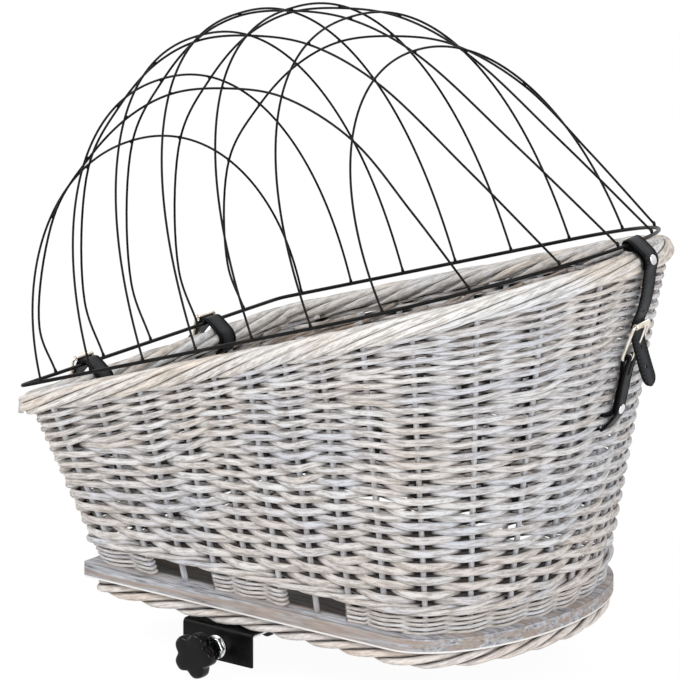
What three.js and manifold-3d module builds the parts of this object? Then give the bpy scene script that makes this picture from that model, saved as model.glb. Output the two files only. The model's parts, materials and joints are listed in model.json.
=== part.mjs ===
// Willow dog basket for a bicycle carrier, with a hinged wire lattice and a screw clamp under its board.
// Millimetres, +Z up. The origin is the middle of the clamp plate's underside, which sits on the carrier.
// +X runs towards the high, round end of the basket, and the clamp knob on the -Y side is the near one.
import * as THREE from 'three';
import { mergeVertices } from 'three/addons/utils/BufferGeometryUtils.js';
import Module from 'manifold-3d';

// Clearances
const GAP = 0.3; // between two pieces that touch
const RUNNING_GAP = 0.4; // round a bar that something turns on
const CUT_GAP = 0.5; // round a piece that passes through another
const CURVE_GAP = 0.8; // between a straight strap and the curved rim or wire in it
const CROSSING_GAP = 0.7; // between two lattice wires that cross

// Lattice ring, seen from above
const RING_LENGTH = 482;
const RING_WIDTH = 339;
const RING_STRAIGHT = 303; // from the low end to where the round end starts
const RING_CORNER = 8;
const RING_RISE = 163; // from the low end to the high end
const RING_WIRE = 3.8;

// Lattice arches: where a cross arch stands along the ring, its height, its lean towards the high end
// and its fullness, the exponent of its superellipse
const ARCH_WIRE = 2.4;
const CROSS_ARCHES = [
  { along: 24, height: 164, lean: 3, fullness: 2.1 },
  { along: 77, height: 208, lean: 0.5, fullness: 2.2 },
  { along: 132, height: 236, lean: -1.5, fullness: 2.25 },
  { along: 187, height: 247, lean: -3, fullness: 2.3 },
  { along: 245, height: 242, lean: -4.5, fullness: 2.3 },
  { along: 305, height: 225, lean: -6, fullness: 2.25 },
  { along: 368, height: 189, lean: -10, fullness: 2.1 },
];
// Long arches: how far each is from the middle, at its feet and at the tallest cross arch
const LONG_ARCHES = [
  { foot: -122, crown: -110 },
  { foot: -61, crown: -59 },
  { foot: 0, crown: 0 },
  { foot: 61, crown: 59 },
  { foot: 122, crown: 110 },
];
const LOW_END_BULGE = 5; // how far a long arch swells past the low end
const LOW_BULGE_AT = 0.3; // where it does, as a share of the first cross arch's height
const HIGH_END_BULGE = 2; // how far a long arch swells above a straight line at the high end

// Willow rim, wall and foot
const RIM_THICKNESS = 20;
const RIM_INSET = 1.5; // from the ring's line to the middle of the rim
const WALL_THICKNESS = 9;
const WALL_CORNER_TOP = 26;
const WALL_CORNER_FOOT = 10;
const WALL_INSET = 6; // from the board's edge to the wall
const BASKET_DEPTH = 150.5; // from the ring's low end to the board
const BAND_HEIGHT = 16;
const SLOTS = [
  { from: 110, to: 167 },
  { from: 248, to: 300 },
];
const STAKE_THICKNESS = 4.6;
const BRAID_THICKNESS = 15;
const BRAID_INSET = 11; // from the board's edge to the middle of the foot braid

// Base board
const BOARD_SETBACK = 36.5; // from the ring's low end
const BOARD_LENGTH = 392.5;
const BOARD_WIDTH = 267;
const BOARD_STRAIGHT = 319;
const BOARD_CORNER = 3;
const BOARD_THICKNESS = 13.5;
const BOARD_EDGE = 1.5;

// Leather straps
const LEATHER = 1.8;
const STRAP_WIDTH = 20;
const ANCHOR_WIDTH = 15;
const HINGE_STRAP_OFFSET = 79; // from the middle of the low end to each hinge strap
const CLOSING_STRAP_OFFSET = 20; // from the middle of the high end, to the far side
// Points of the straps and buckles at the rim: out from the rim's edge and up from the ring wire
const HINGE_TAIL = [[13.2, -9.7], [17.7, -17.6], [20.3, -28], [19.9, -42]];
const CLOSING_DROP = [[2.65, -21], [0.65, -37], [-3.05, -52]]; // from the rim down to the buckle
const CLOSING_TAIL = [[-8.05, -75.4], [-4.85, -87.5], [-0.15, -101.5], [5.05, -115.5]];
const ANCHOR_LAYER_GAP = 0.8; // between its two layers
// Points of the anchor strap: out from the wall's outer face and up from the ring wire
const ANCHOR_RIVET = [6.3, -138];
const ANCHOR_LOWER_LEG = [[2.9, -151.5], [-2.2, -158], [-10, -160.8]];
const ANCHOR_UPPER_LEG = [[-13.1, -147.6], [-7.5, -145.6], [-1.2, -144.6]];

// Roller buckles
const BUCKLE_LENGTH = 31; // between the heel bar and the front bar
const BUCKLE_SIDE_GAP = 1.2; // from a strap's edge to the bar beside it
const BUCKLE_WIRE = 2.6;
const HINGE_HEEL_CORNER = 2;
const CLOSING_HEEL_CORNER = 4.2;
const FRONT_CORNER = 2.2;
const ROLLER_THICKNESS = 4.8;
const ROLLER_OVERHANG = 0.2; // past each edge of the strap
const PRONG_THICKNESS = 2.2;
const PRONG_EYE_WALL = 1.7;
const PRONG_EYE_WIDTH = 3.2;
const PRONG_OVERHANG = 1.6; // past the roller
const PRONG_SLOT_TAIL = 14; // the slot that lets the closing prong swing, down the strap from the heel bar
const HINGE_FRONT = [-3, 6.5]; // front bar
const HINGE_HEEL_DIRECTION = -61.5; // from the front bar to the heel bar, in degrees
const CLOSING_FRONT = [-4.65, -66];
const CLOSING_HEEL_DIRECTION = -111.2;

// Rivets
const RIVET_HEAD = 8.4;
const RIVET_HEAD_HEIGHT = 2.2;
const RIVET_SHANK = 3;
const CLOSING_RIVET_ANGLE = 17; // round the rim, above level

// Clamp under the board
const CLAMP_SETBACK = 175.5; // from the ring's low end to the middle of the clamp
const PLATE_THICKNESS = 2.5;
const PLATE_LENGTH = 72;
const PLATE_WIDTH = 260;
const FLANGE_HEIGHT = 27; // below the plate's underside
const FOLD_RADIUS = 4; // outside of the fold
const BATTEN_LENGTH = 180;
const BATTEN_WIDTH = 20;
const BATTEN_OFFSET = 22;
const SCREW_OFFSET = 66; // along a batten from its middle
const SCREW_HEAD = 8.4;
const SCREW_SHANK = 4;
const SCREW_INTO_BOARD = 9;
const BOLT_DROP = 15; // from the plate's underside to the bolt's axis
const BOLT_THICKNESS = 8;
const NUT_ACROSS_FLATS = 17;
const NUT_THICKNESS = 6;
const KNOB_DIAMETER = 39;
const KNOB_LOBES = 5;
const KNOB_LOBE_DEPTH = 4.4;
const KNOB_HEAD = 13;
const KNOB_EDGE = 2.2;
const KNOB_HUB_DIAMETER = 21;
const KNOB_HUB = 15;
const KNOB_BORE = 18;
const PAD_DIAMETER = 18;
const PAD_THICKNESS = 6;
const PAD_BORE = 3;
const PAD_REACH = 62; // from the middle of the clamp to a pad's face, with the knob screwed in

// How finely curves are divided
const SIDE_STEPS = 8;
const ROUND_STEPS = 28;
const CORNER_STEPS = 3;
const END_STEPS = 6;
const ARCH_STEPS = 34;
const WIRE_SIDES = 6;
const TUBE_SIDES = 10;
const BAND_STEPS = 3; // between two points of a strap's path
const TURNED_STEPS = 16;
const STAR_STEPS = 40;

// Colours
const willow = { color: 0xcdc6bf, roughness: 0.8, metalness: 0 };
const paleWillow = { color: 0xe2dcd5, roughness: 0.8, metalness: 0 };
const greyWood = { color: 0x9a9690, roughness: 0.75, metalness: 0 };
const blackWire = { color: 0x1d1b1a, roughness: 0.45, metalness: 0.2 };
const blackSteel = { color: 0x141414, roughness: 0.4, metalness: 0.3 };
const blackLeather = { color: 0x303234, roughness: 0.6, metalness: 0 };
const nickel = { color: 0xd8cfc2, roughness: 0.25, metalness: 1 };
const chrome = { color: 0xe6e6e6, roughness: 0.15, metalness: 1 };
const zinc = { color: 0xc9ccce, roughness: 0.35, metalness: 1 };
const blackPlastic = { color: 0x121212, roughness: 0.35, metalness: 0 };
const rubber = { color: 0x1b1b1b, roughness: 0.85, metalness: 0 };

// Heights above the carrier
const braidMiddle = PLATE_THICKNESS + GAP + BRAID_THICKNESS / 2;
const boardBottom = PLATE_THICKNESS + GAP + BRAID_THICKNESS + GAP;
const boardTop = boardBottom + BOARD_THICKNESS;
const bandBottom = boardTop + GAP;
const wallBottom = bandBottom + BAND_HEIGHT + GAP;
const ringHeight = boardTop + BASKET_DEPTH;

// The ring's sloping plane: u runs up the slope from the low end, v is square to the plane
const slope = Math.atan2(RING_RISE, RING_LENGTH);
const ringPlane = new THREE.Matrix4()
  .makeTranslation(0, 0, ringHeight)
  .multiply(new THREE.Matrix4().makeRotationY(-slope));
const ringOutline = {
  low: 0,
  straight: RING_STRAIGHT / Math.cos(slope),
  high: RING_LENGTH / Math.cos(slope),
  halfWidth: RING_WIDTH / 2,
  corner: RING_CORNER,
};
const rimDistance = RIM_THICKNESS / 2 + RING_WIRE / 2 + LEATHER + 2 * (GAP + CURVE_GAP);
const rimDrop = Math.sqrt(rimDistance ** 2 - RIM_INSET ** 2);
const buckleWidth = STRAP_WIDTH + 2 * BUCKLE_SIDE_GAP + BUCKLE_WIRE;
const rollerLength = STRAP_WIDTH + 2 * ROLLER_OVERHANG;

const wasm = await Module();
wasm.setup();

const basket = new THREE.Group();
basket.position.x = -CLAMP_SETBACK;
const lattice = new THREE.Group();
lattice.applyMatrix4(ringPlane);
basket.add(lattice);

function place(group, name, geometry, finish) {
  const mesh = new THREE.Mesh(geometry, new THREE.MeshStandardMaterial(finish));
  mesh.name = name;
  group.add(mesh);
  return mesh;
}

const axisZ = new THREE.Vector3(0, 0, 1);

// Solids that are joined and cut

function toSolid(geometry) {
  const bare = geometry.clone();
  bare.deleteAttribute('normal');
  bare.deleteAttribute('uv');
  const merged = mergeVertices(bare);
  return new wasm.Manifold(
    new wasm.Mesh({
      numProp: 3,
      vertProperties: new Float32Array(merged.attributes.position.array),
      triVerts: new Uint32Array(merged.index.array),
    }),
  );
}

function toGeometry(solid) {
  const mesh = solid.getMesh();
  const geometry = new THREE.BufferGeometry();
  geometry.setAttribute('position', new THREE.BufferAttribute(mesh.vertProperties, mesh.numProp));
  geometry.setIndex(new THREE.BufferAttribute(mesh.triVerts, 1));
  return geometry;
}

function cut(geometry, tools) {
  let solid = toSolid(geometry);
  for (const tool of tools) {
    solid = solid.subtract(toSolid(tool));
  }
  return toGeometry(solid);
}

function join(first, second) {
  return toGeometry(toSolid(first).add(toSolid(second)));
}

function block(low, high) {
  const box = new THREE.BoxGeometry(high.x - low.x, high.y - low.y, high.z - low.z);
  box.translate((low.x + high.x) / 2, (low.y + high.y) / 2, (low.z + high.z) / 2);
  return box;
}

// Outline of the basket seen from above: a straight low end, straight sides and a half-elliptical high end

function basketOutline({ low, straight, high, halfWidth, corner }) {
  const points = [];
  const run = (from, to, steps) => {
    for (let i = 0; i < steps; i++) {
      points.push(new THREE.Vector2().lerpVectors(from, to, i / steps));
    }
  };
  const turn = (x, y, radiusX, radiusY, startAngle, steps) => {
    const sweep = radiusX === radiusY ? Math.PI / 2 : Math.PI;
    for (let i = 0; i < steps; i++) {
      const angle = startAngle + (sweep * i) / steps;
      points.push(new THREE.Vector2(x + radiusX * Math.cos(angle), y + radiusY * Math.sin(angle)));
    }
  };
  const sideStart = low + corner;
  const endHalf = halfWidth - corner;
  run(new THREE.Vector2(sideStart, -halfWidth), new THREE.Vector2(straight, -halfWidth), SIDE_STEPS);
  turn(straight, 0, high - straight, halfWidth, -Math.PI / 2, ROUND_STEPS);
  run(new THREE.Vector2(straight, halfWidth), new THREE.Vector2(sideStart, halfWidth), SIDE_STEPS);
  turn(sideStart, endHalf, corner, corner, Math.PI / 2, CORNER_STEPS);
  run(new THREE.Vector2(low, endHalf), new THREE.Vector2(low, -endHalf), END_STEPS);
  turn(sideStart, -endHalf, corner, corner, Math.PI, CORNER_STEPS);
  return points;
}

function drawIn(outline, distance) {
  return {
    low: outline.low + distance,
    straight: outline.straight,
    high: outline.high - distance,
    halfWidth: outline.halfWidth - distance,
    corner: Math.max(outline.corner - distance, GAP),
  };
}

function halfWidthAt(outline, along) {
  const past = Math.max(along - outline.straight, 0) / (outline.high - outline.straight);
  return outline.halfWidth * Math.sqrt(1 - past ** 2);
}

function reachAt(outline, across) {
  const share = across / outline.halfWidth;
  return outline.straight + (outline.high - outline.straight) * Math.sqrt(1 - share ** 2);
}

// Skin over closed loops of points, each loop joined to the next and the last to the first

function loopLoft(loops) {
  const across = loops.length;
  const along = loops[0].length;
  const index = [];
  for (let j = 0; j < across; j++) {
    for (let i = 0; i < along; i++) {
      const nextJ = (j + 1) % across;
      const nextI = (i + 1) % along;
      const a = j * along + i;
      const b = nextJ * along + i;
      const c = nextJ * along + nextI;
      const d = j * along + nextI;
      index.push(a, b, c, a, c, d);
    }
  }
  const geometry = new THREE.BufferGeometry();
  geometry.setFromPoints(loops.flat());
  geometry.setIndex(index);
  return facedOut(geometry);
}

function facedOut(geometry) {
  const position = geometry.attributes.position;
  const index = geometry.index.array;
  const corner = (k) => new THREE.Vector3().fromBufferAttribute(position, index[k]);
  let volume = 0;
  for (let k = 0; k < index.length; k += 3) {
    volume += corner(k).dot(corner(k + 1).cross(corner(k + 2)));
  }
  if (volume < 0) {
    geometry.setIndex(Array.from(index).reverse());
  }
  return geometry;
}

// Round bars

function closedTube(path, planeNormal, thickness, sides) {
  const outward = path.map((point, i) => {
    const before = path[(i + path.length - 1) % path.length];
    const after = path[(i + 1) % path.length];
    return after.clone().sub(before).normalize().cross(planeNormal);
  });
  const loops = [];
  for (let k = 0; k < sides; k++) {
    const angle = (2 * Math.PI * k) / sides;
    loops.push(
      path.map((point, i) =>
        point
          .clone()
          .addScaledVector(outward[i], (Math.cos(angle) * thickness) / 2)
          .addScaledVector(planeNormal, (Math.sin(angle) * thickness) / 2),
      ),
    );
  }
  return loopLoft(loops);
}

function outlineTube(outline, height, thickness, sides) {
  const path = basketOutline(outline).map((p) => new THREE.Vector3(p.x, p.y, height));
  return closedTube(path, new THREE.Vector3(0, 0, 1), thickness, sides);
}

function wire(curve, thickness, steps) {
  const corners = [];
  for (let k = 0; k < WIRE_SIDES; k++) {
    const angle = (2 * Math.PI * k) / WIRE_SIDES;
    corners.push(new THREE.Vector2(Math.cos(angle), Math.sin(angle)).multiplyScalar(thickness / 2));
  }
  return new THREE.ExtrudeGeometry(new THREE.Shape(corners), { steps, extrudePath: curve });
}

function rod(from, to, thickness, sides = TUBE_SIDES) {
  const line = to.clone().sub(from);
  const bar = new THREE.CylinderGeometry(thickness / 2, thickness / 2, line.length(), sides);
  const upright = new THREE.Vector3(0, 1, 0);
  const turn = new THREE.Quaternion().setFromUnitVectors(upright, line.clone().normalize());
  bar.applyQuaternion(turn);
  const middle = from.clone().add(to).multiplyScalar(0.5);
  bar.translate(middle.x, middle.y, middle.z);
  return bar;
}

// Turned pieces: the profile is [radius, height] pairs, and the axis becomes the given direction

function turned(profile, direction, steps = TURNED_STEPS) {
  const points = profile.map(([radius, height]) => new THREE.Vector2(radius, height));
  const piece = new THREE.LatheGeometry(points, steps);
  const upright = new THREE.Vector3(0, 1, 0);
  piece.applyQuaternion(new THREE.Quaternion().setFromUnitVectors(upright, direction.clone().normalize()));
  return facedOut(mergedOnly(piece));
}

function mergedOnly(geometry) {
  geometry.deleteAttribute('normal');
  geometry.deleteAttribute('uv');
  return mergeVertices(geometry);
}

// Straps: a path in the X-Z plane, [out, up], given a thickness, and a width along Y

function smoothPath(points, closed) {
  const corners = points.map(([x, z]) => new THREE.Vector3(x, z, 0));
  const curve = new THREE.CatmullRomCurve3(corners, closed, 'centripetal');
  if (closed) {
    return curve.getPoints(BAND_STEPS * points.length).slice(0, -1);
  }
  return curve.getPoints(BAND_STEPS * (points.length - 1));
}

function offsetPath(path, distance, closed) {
  return path.map((point, i) => {
    const last = path.length - 1;
    const before = path[i > 0 ? i - 1 : closed ? last : 0];
    const after = path[i < last ? i + 1 : closed ? 0 : last];
    const along = after.clone().sub(before).normalize();
    return new THREE.Vector2(point.x - along.y * distance, point.y + along.x * distance);
  });
}

function band(points, thickness, width, { closed = false, smooth = true } = {}) {
  const path = smooth ? smoothPath(points, closed) : points.map(([x, z]) => new THREE.Vector3(x, z, 0));
  const left = offsetPath(path, thickness / 2, closed);
  const right = offsetPath(path, -thickness / 2, closed);
  let shape;
  if (closed) {
    const leftIsOuter = Math.abs(THREE.ShapeUtils.area(left)) > Math.abs(THREE.ShapeUtils.area(right));
    const [outer, inner] = leftIsOuter ? [left, right] : [right, left];
    if (THREE.ShapeUtils.isClockWise(outer)) {
      outer.reverse();
      inner.reverse();
    }
    shape = new THREE.Shape(outer);
    shape.holes.push(new THREE.Path(inner));
  } else {
    shape = new THREE.Shape(left.concat(right.reverse()));
  }
  const strip = new THREE.ExtrudeGeometry(shape, { depth: width, bevelEnabled: false });
  strip.rotateX(Math.PI / 2);
  strip.translate(0, width / 2, 0);
  return facedOut(mergedOnly(strip));
}

function arcPoints([x, z], radius, degrees) {
  return degrees.map((degree) => {
    const angle = THREE.MathUtils.degToRad(degree);
    return [x + radius * Math.cos(angle), z + radius * Math.sin(angle)];
  });
}

// Roller buckle: X runs from the heel bar to the front bar, and Z faces away from the basket

function buckleFrame(heelCorner) {
  const half = buckleWidth / 2;
  const corners = [
    [BUCKLE_LENGTH - FRONT_CORNER, half - FRONT_CORNER, FRONT_CORNER, 0],
    [heelCorner, half - heelCorner, heelCorner, 90],
    [heelCorner, heelCorner - half, heelCorner, 180],
    [BUCKLE_LENGTH - FRONT_CORNER, FRONT_CORNER - half, FRONT_CORNER, 270],
  ];
  const path = corners.flatMap(([x, y, radius, start]) =>
    arcPoints([x, y], radius, [start, start + 30, start + 60, start + 90]),
  );
  const points = path.map(([x, y]) => new THREE.Vector3(x, y, 0));
  return closedTube(points, new THREE.Vector3(0, 0, 1), BUCKLE_WIRE, TUBE_SIDES);
}

function buckleRoller() {
  const bore = BUCKLE_WIRE / 2 + RUNNING_GAP;
  const outer = ROLLER_THICKNESS / 2;
  const half = rollerLength / 2;
  const profile = [[bore, -half], [outer, -half], [outer, half], [bore, half], [bore, -half]];
  const roller = turned(profile, new THREE.Vector3(0, 1, 0));
  roller.translate(BUCKLE_LENGTH, 0, 0);
  return roller;
}

const prongEyeBore = BUCKLE_WIRE / 2 + RUNNING_GAP;
const prongEyeOuter = prongEyeBore + PRONG_EYE_WALL;

function prongLine(thickness) {
  const start = new THREE.Vector3(0, 0, prongEyeBore + PRONG_EYE_WALL / 2);
  const overRoller = ROLLER_THICKNESS / 2 + GAP + PRONG_THICKNESS / 2;
  const end = new THREE.Vector3(BUCKLE_LENGTH + PRONG_OVERHANG, 0, overRoller);
  return rod(start, end, thickness);
}

function buckleProng() {
  const half = PRONG_EYE_WIDTH / 2;
  const inner = prongEyeBore;
  const outer = prongEyeOuter;
  const profile = [[inner, -half], [outer, -half], [outer, half], [inner, half], [inner, -half]];
  return join(turned(profile, new THREE.Vector3(0, 1, 0)), prongLine(PRONG_THICKNESS));
}

const heelSlotReach = prongEyeOuter + CUT_GAP;

function heelSlot(tail = heelSlotReach, front = heelSlotReach) {
  const half = PRONG_EYE_WIDTH / 2 + CUT_GAP;
  const low = new THREE.Vector3(-tail, -half, -heelSlotReach);
  const high = new THREE.Vector3(heelSlotReach, half, front);
  return block(low, high);
}

function buckleAt([frontX, frontZ], heelDirection) {
  const angle = THREE.MathUtils.degToRad(heelDirection);
  const heelX = frontX + BUCKLE_LENGTH * Math.cos(angle);
  const heelZ = frontZ + BUCKLE_LENGTH * Math.sin(angle);
  const towardsFront = new THREE.Vector3(-Math.cos(angle), 0, -Math.sin(angle));
  const facing = new THREE.Vector3(-Math.sin(angle), 0, Math.cos(angle));
  const matrix = new THREE.Matrix4().makeBasis(towardsFront, facing.clone().cross(towardsFront), facing);
  matrix.setPosition(heelX, 0, heelZ);
  return { matrix, heel: [heelX, heelZ], facing: [facing.x, facing.z] };
}

function placeBuckle(group, names, buckle, heelCorner) {
  place(group, names.frame, buckleFrame(heelCorner), nickel).applyMatrix4(buckle.matrix);
  place(group, names.prong, buckleProng(), nickel).applyMatrix4(buckle.matrix);
  place(group, names.roller, buckleRoller(), nickel).applyMatrix4(buckle.matrix);
}

const heelWrap = BUCKLE_WIRE / 2 + GAP + LEATHER / 2;
const wireWrap = RING_WIRE / 2 + GAP + LEATHER / 2;
const rimWrap = RIM_THICKNESS / 2 + GAP + LEATHER / 2;
const underRoller = ROLLER_THICKNESS / 2 + GAP + LEATHER / 2;

function movedOut(points, distance) {
  return points.map(([x, z]) => [x + distance, z]);
}

function behindRoller([frontX, frontZ], [facingX, facingZ]) {
  return [frontX - underRoller * facingX, frontZ - underRoller * facingZ];
}

// Base board, foot braid and clamp

const boardOutline = {
  low: BOARD_SETBACK,
  straight: BOARD_SETBACK + BOARD_STRAIGHT,
  high: BOARD_SETBACK + BOARD_LENGTH,
  halfWidth: BOARD_WIDTH / 2,
  corner: BOARD_CORNER,
};

const screwPlaces = [-1, 1].flatMap((x) =>
  [-1, 1].map((y) => new THREE.Vector3(CLAMP_SETBACK + x * BATTEN_OFFSET, y * SCREW_OFFSET, 0)),
);

function screw(extra) {
  const head = SCREW_HEAD / 2 + extra;
  const shank = SCREW_SHANK / 2 + extra;
  const bottom = extra > 0 ? -extra : GAP;
  const sink = head - shank;
  const top = boardBottom + SCREW_INTO_BOARD + extra;
  const profile = [[0, bottom], [head, bottom], [head, GAP], [shank, GAP + sink], [shank, top], [0, top]];
  return turned(profile, new THREE.Vector3(0, 0, 1), TUBE_SIDES);
}

function screwHoles() {
  return screwPlaces.map((at) => screw(GAP).translate(at.x, at.y, at.z));
}

function buildBoard() {
  const board = new THREE.ExtrudeGeometry(new THREE.Shape(basketOutline(boardOutline)), {
    depth: BOARD_THICKNESS - 2 * BOARD_EDGE,
    bevelThickness: BOARD_EDGE,
    bevelSize: BOARD_EDGE,
    bevelOffset: -BOARD_EDGE,
    bevelSegments: 2,
  });
  board.translate(0, 0, boardBottom + BOARD_EDGE);
  place(basket, 'base_board', cut(board, screwHoles()), greyWood);
  const braid = outlineTube(drawIn(boardOutline, BRAID_INSET), braidMiddle, BRAID_THICKNESS, TUBE_SIDES);
  place(basket, 'foot_braid', braid, paleWillow);
}

function clampPlate() {
  const half = PLATE_WIDTH / 2;
  const middle = PLATE_THICKNESS / 2;
  const fold = FOLD_RADIUS - middle;
  const foldX = half - FOLD_RADIUS;
  const foldZ = PLATE_THICKNESS - FOLD_RADIUS;
  const quarter = [0, 22.5, 45, 67.5, 90];
  const right = arcPoints([foldX, foldZ], fold, quarter);
  const left = arcPoints([-foldX, foldZ], fold, quarter.map((degree) => degree + 90));
  const flangeX = half - middle;
  const path = [[flangeX, -FLANGE_HEIGHT], ...right, ...left, [-flangeX, -FLANGE_HEIGHT]];
  const plate = band(path, PLATE_THICKNESS, PLATE_LENGTH, { smooth: false });
  plate.rotateZ(Math.PI / 2);
  plate.translate(CLAMP_SETBACK, 0, 0);
  const boltHole = rod(
    new THREE.Vector3(CLAMP_SETBACK, -half - PLATE_THICKNESS, -BOLT_DROP),
    new THREE.Vector3(CLAMP_SETBACK, half + PLATE_THICKNESS, -BOLT_DROP),
    BOLT_THICKNESS + 2 * CUT_GAP,
    TURNED_STEPS,
  );
  return cut(plate, [...screwHoles(), boltHole]);
}

function buildClamp() {
  place(basket, 'clamp_plate', clampPlate(), blackSteel);
  for (const [name, side] of [['low', -1], ['high', 1]]) {
    const x = CLAMP_SETBACK + side * BATTEN_OFFSET;
    const low = new THREE.Vector3(x - BATTEN_WIDTH / 2, -BATTEN_LENGTH / 2, PLATE_THICKNESS + GAP);
    const high = new THREE.Vector3(x + BATTEN_WIDTH / 2, BATTEN_LENGTH / 2, boardBottom - GAP);
    place(basket, `spacer_batten_${name}`, cut(block(low, high), screwHoles()), greyWood);
  }
  screwPlaces.forEach((at, i) => {
    place(basket, `clamp_screw_${i + 1}`, screw(0), zinc).position.copy(at);
  });
  for (const [name, side] of [['near', -1], ['far', 1]]) {
    buildClampScrew(name, side);
  }
}

function starOutline() {
  const points = [];
  for (let k = 0; k < STAR_STEPS; k++) {
    const angle = (2 * Math.PI * k) / STAR_STEPS;
    const wave = (1 - Math.cos(KNOB_LOBES * angle)) / 2;
    const radius = KNOB_DIAMETER / 2 - KNOB_LOBE_DEPTH * wave ** 2;
    points.push(new THREE.Vector2(radius * Math.cos(angle), radius * Math.sin(angle)));
  }
  return points;
}

// One clamp screw along Z, from the flange's outer face outwards, turned to face its own side

function buildClampScrew(name, side) {
  const hubStart = NUT_THICKNESS + 2 * GAP;
  const headStart = hubStart + KNOB_HUB;
  const hubRadius = KNOB_HUB_DIAMETER / 2;
  const hubLength = KNOB_HUB + KNOB_EDGE;
  const hub = turned([[0, 0], [hubRadius, 0], [hubRadius, hubLength], [0, hubLength]], axisZ);
  const head = new THREE.ExtrudeGeometry(new THREE.Shape(starOutline()), {
    depth: KNOB_HEAD - 2 * KNOB_EDGE,
    bevelThickness: KNOB_EDGE,
    bevelSize: KNOB_EDGE,
    bevelOffset: -KNOB_EDGE,
    bevelSegments: 2,
  });
  hub.translate(0, 0, hubStart);
  head.translate(0, 0, headStart + KNOB_EDGE);
  const inward = PLATE_WIDTH / 2 - PAD_REACH;
  const boltRadius = BOLT_THICKNESS / 2;
  const boltLow = -inward + PAD_THICKNESS - PAD_BORE + GAP;
  const boltHigh = hubStart + KNOB_BORE - GAP;
  const bolt = turned([[0, boltLow], [boltRadius, boltLow], [boltRadius, boltHigh], [0, boltHigh]], axisZ);
  const boltRoom = rod(
    new THREE.Vector3(0, 0, boltLow - GAP),
    new THREE.Vector3(0, 0, boltHigh + GAP),
    BOLT_THICKNESS + 2 * CUT_GAP,
    TURNED_STEPS,
  );
  const nut = new THREE.CylinderGeometry(
    NUT_ACROSS_FLATS / Math.sqrt(3),
    NUT_ACROSS_FLATS / Math.sqrt(3),
    NUT_THICKNESS,
    6,
  );
  nut.rotateX(Math.PI / 2);
  nut.translate(0, 0, GAP + NUT_THICKNESS / 2);
  const padRadius = PAD_DIAMETER / 2;
  const pad = turned([[0, 0], [padRadius, 0], [padRadius, PAD_THICKNESS], [0, PAD_THICKNESS]], axisZ);
  pad.translate(0, 0, -inward);
  const set = new THREE.Group();
  set.position.set(CLAMP_SETBACK, (side * PLATE_WIDTH) / 2, -BOLT_DROP);
  set.rotation.x = (-side * Math.PI) / 2;
  basket.add(set);
  place(set, `clamp_knob_${name}`, cut(join(hub, head), [boltRoom]), blackPlastic);
  place(set, `clamp_bolt_${name}`, bolt, zinc);
  place(set, `clamp_nut_${name}`, cut(nut, [boltRoom]), zinc);
  place(set, `clamp_pad_${name}`, cut(pad, [boltRoom]), rubber);
}

// Willow wall: straight stakes from the foot outline on the board to the head outline under the rim

const rimShift = rimDrop * Math.sin(slope);
const wallHead = {
  low: RIM_INSET * Math.cos(slope) + rimShift - WALL_THICKNESS / 2,
  straight: RING_STRAIGHT + rimShift,
  high: RING_LENGTH - RIM_INSET * Math.cos(slope) + rimShift + WALL_THICKNESS / 2,
  halfWidth: RING_WIDTH / 2 - RIM_INSET + WALL_THICKNESS / 2,
  corner: WALL_CORNER_TOP,
};
const wallFoot = { ...drawIn(boardOutline, WALL_INSET), corner: WALL_CORNER_FOOT };

function headHeight(x) {
  const belowRing = rimDrop + RIM_THICKNESS / 2;
  return ringHeight + x * Math.tan(slope) - belowRing / Math.cos(slope);
}

// Loop of points on the wall, drawn in from its outer face, at a height or, with none, at its head
function wallLoop(inset, height) {
  const foot = basketOutline(drawIn(wallFoot, inset));
  const head = basketOutline(drawIn(wallHead, inset));
  return foot.map((low, i) => {
    const top = headHeight(head[i].x);
    const share = height === undefined ? 1 : (height - boardTop) / (top - boardTop);
    const at = low.clone().lerp(head[i], share);
    return new THREE.Vector3(at.x, at.y, boardTop + share * (top - boardTop));
  });
}

function wallBetween(bottom, top) {
  const inner = WALL_THICKNESS;
  return loopLoft([wallLoop(0, bottom), wallLoop(inner, bottom), wallLoop(inner, top), wallLoop(0, top)]);
}

function buildWall(strapTools) {
  place(basket, 'basket_wall', cut(wallBetween(wallBottom, undefined), strapTools), willow);
  const ring = toSolid(wallBetween(bandBottom, bandBottom + BAND_HEIGHT));
  const far = RING_LENGTH;
  const piece = (name, fromX, toX, fromY, toY) => {
    const room = block(new THREE.Vector3(fromX, fromY, 0), new THREE.Vector3(toX, toY, ringHeight));
    place(basket, name, toGeometry(ring.intersect(toSolid(room))), willow);
  };
  const [lowSlot, highSlot] = SLOTS;
  piece('band_low_end', -far, lowSlot.from, -far, far);
  piece('band_near', lowSlot.to, highSlot.from, -far, 0);
  piece('band_far', lowSlot.to, highSlot.from, 0, far);
  piece('band_high_end', highSlot.to, 2 * far, -far, far);
  for (const [end, slot] of [['low', lowSlot], ['high', highSlot]]) {
    const middle = (slot.from + slot.to) / 2;
    buildSlotStake(`slot_stake_near_${end}`, middle, -1);
    buildSlotStake(`slot_stake_far_${end}`, middle, 1);
  }
  const rim = outlineTube(drawIn(ringOutline, RIM_INSET), -rimDrop, RIM_THICKNESS, TUBE_SIDES);
  place(lattice, 'rim_border', rim, paleWillow);
}

function buildSlotStake(name, x, side) {
  const share = (bandBottom + BAND_HEIGHT / 2 - boardTop) / (headHeight(x) - boardTop);
  const face = THREE.MathUtils.lerp(wallFoot.halfWidth, wallHead.halfWidth, share);
  const y = side * (face - WALL_THICKNESS / 2);
  const low = new THREE.Vector3(x, y, bandBottom);
  const high = new THREE.Vector3(x, y, bandBottom + BAND_HEIGHT);
  place(basket, name, rod(low, high, STAKE_THICKNESS), willow);
}

// Wire lattice, in the ring's plane

const archFoot = RING_WIRE / 2 + GAP;
const slantedFoot = archFoot + 0.4 * ARCH_WIRE; // where a long arch comes down on the ring at a slant

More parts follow.
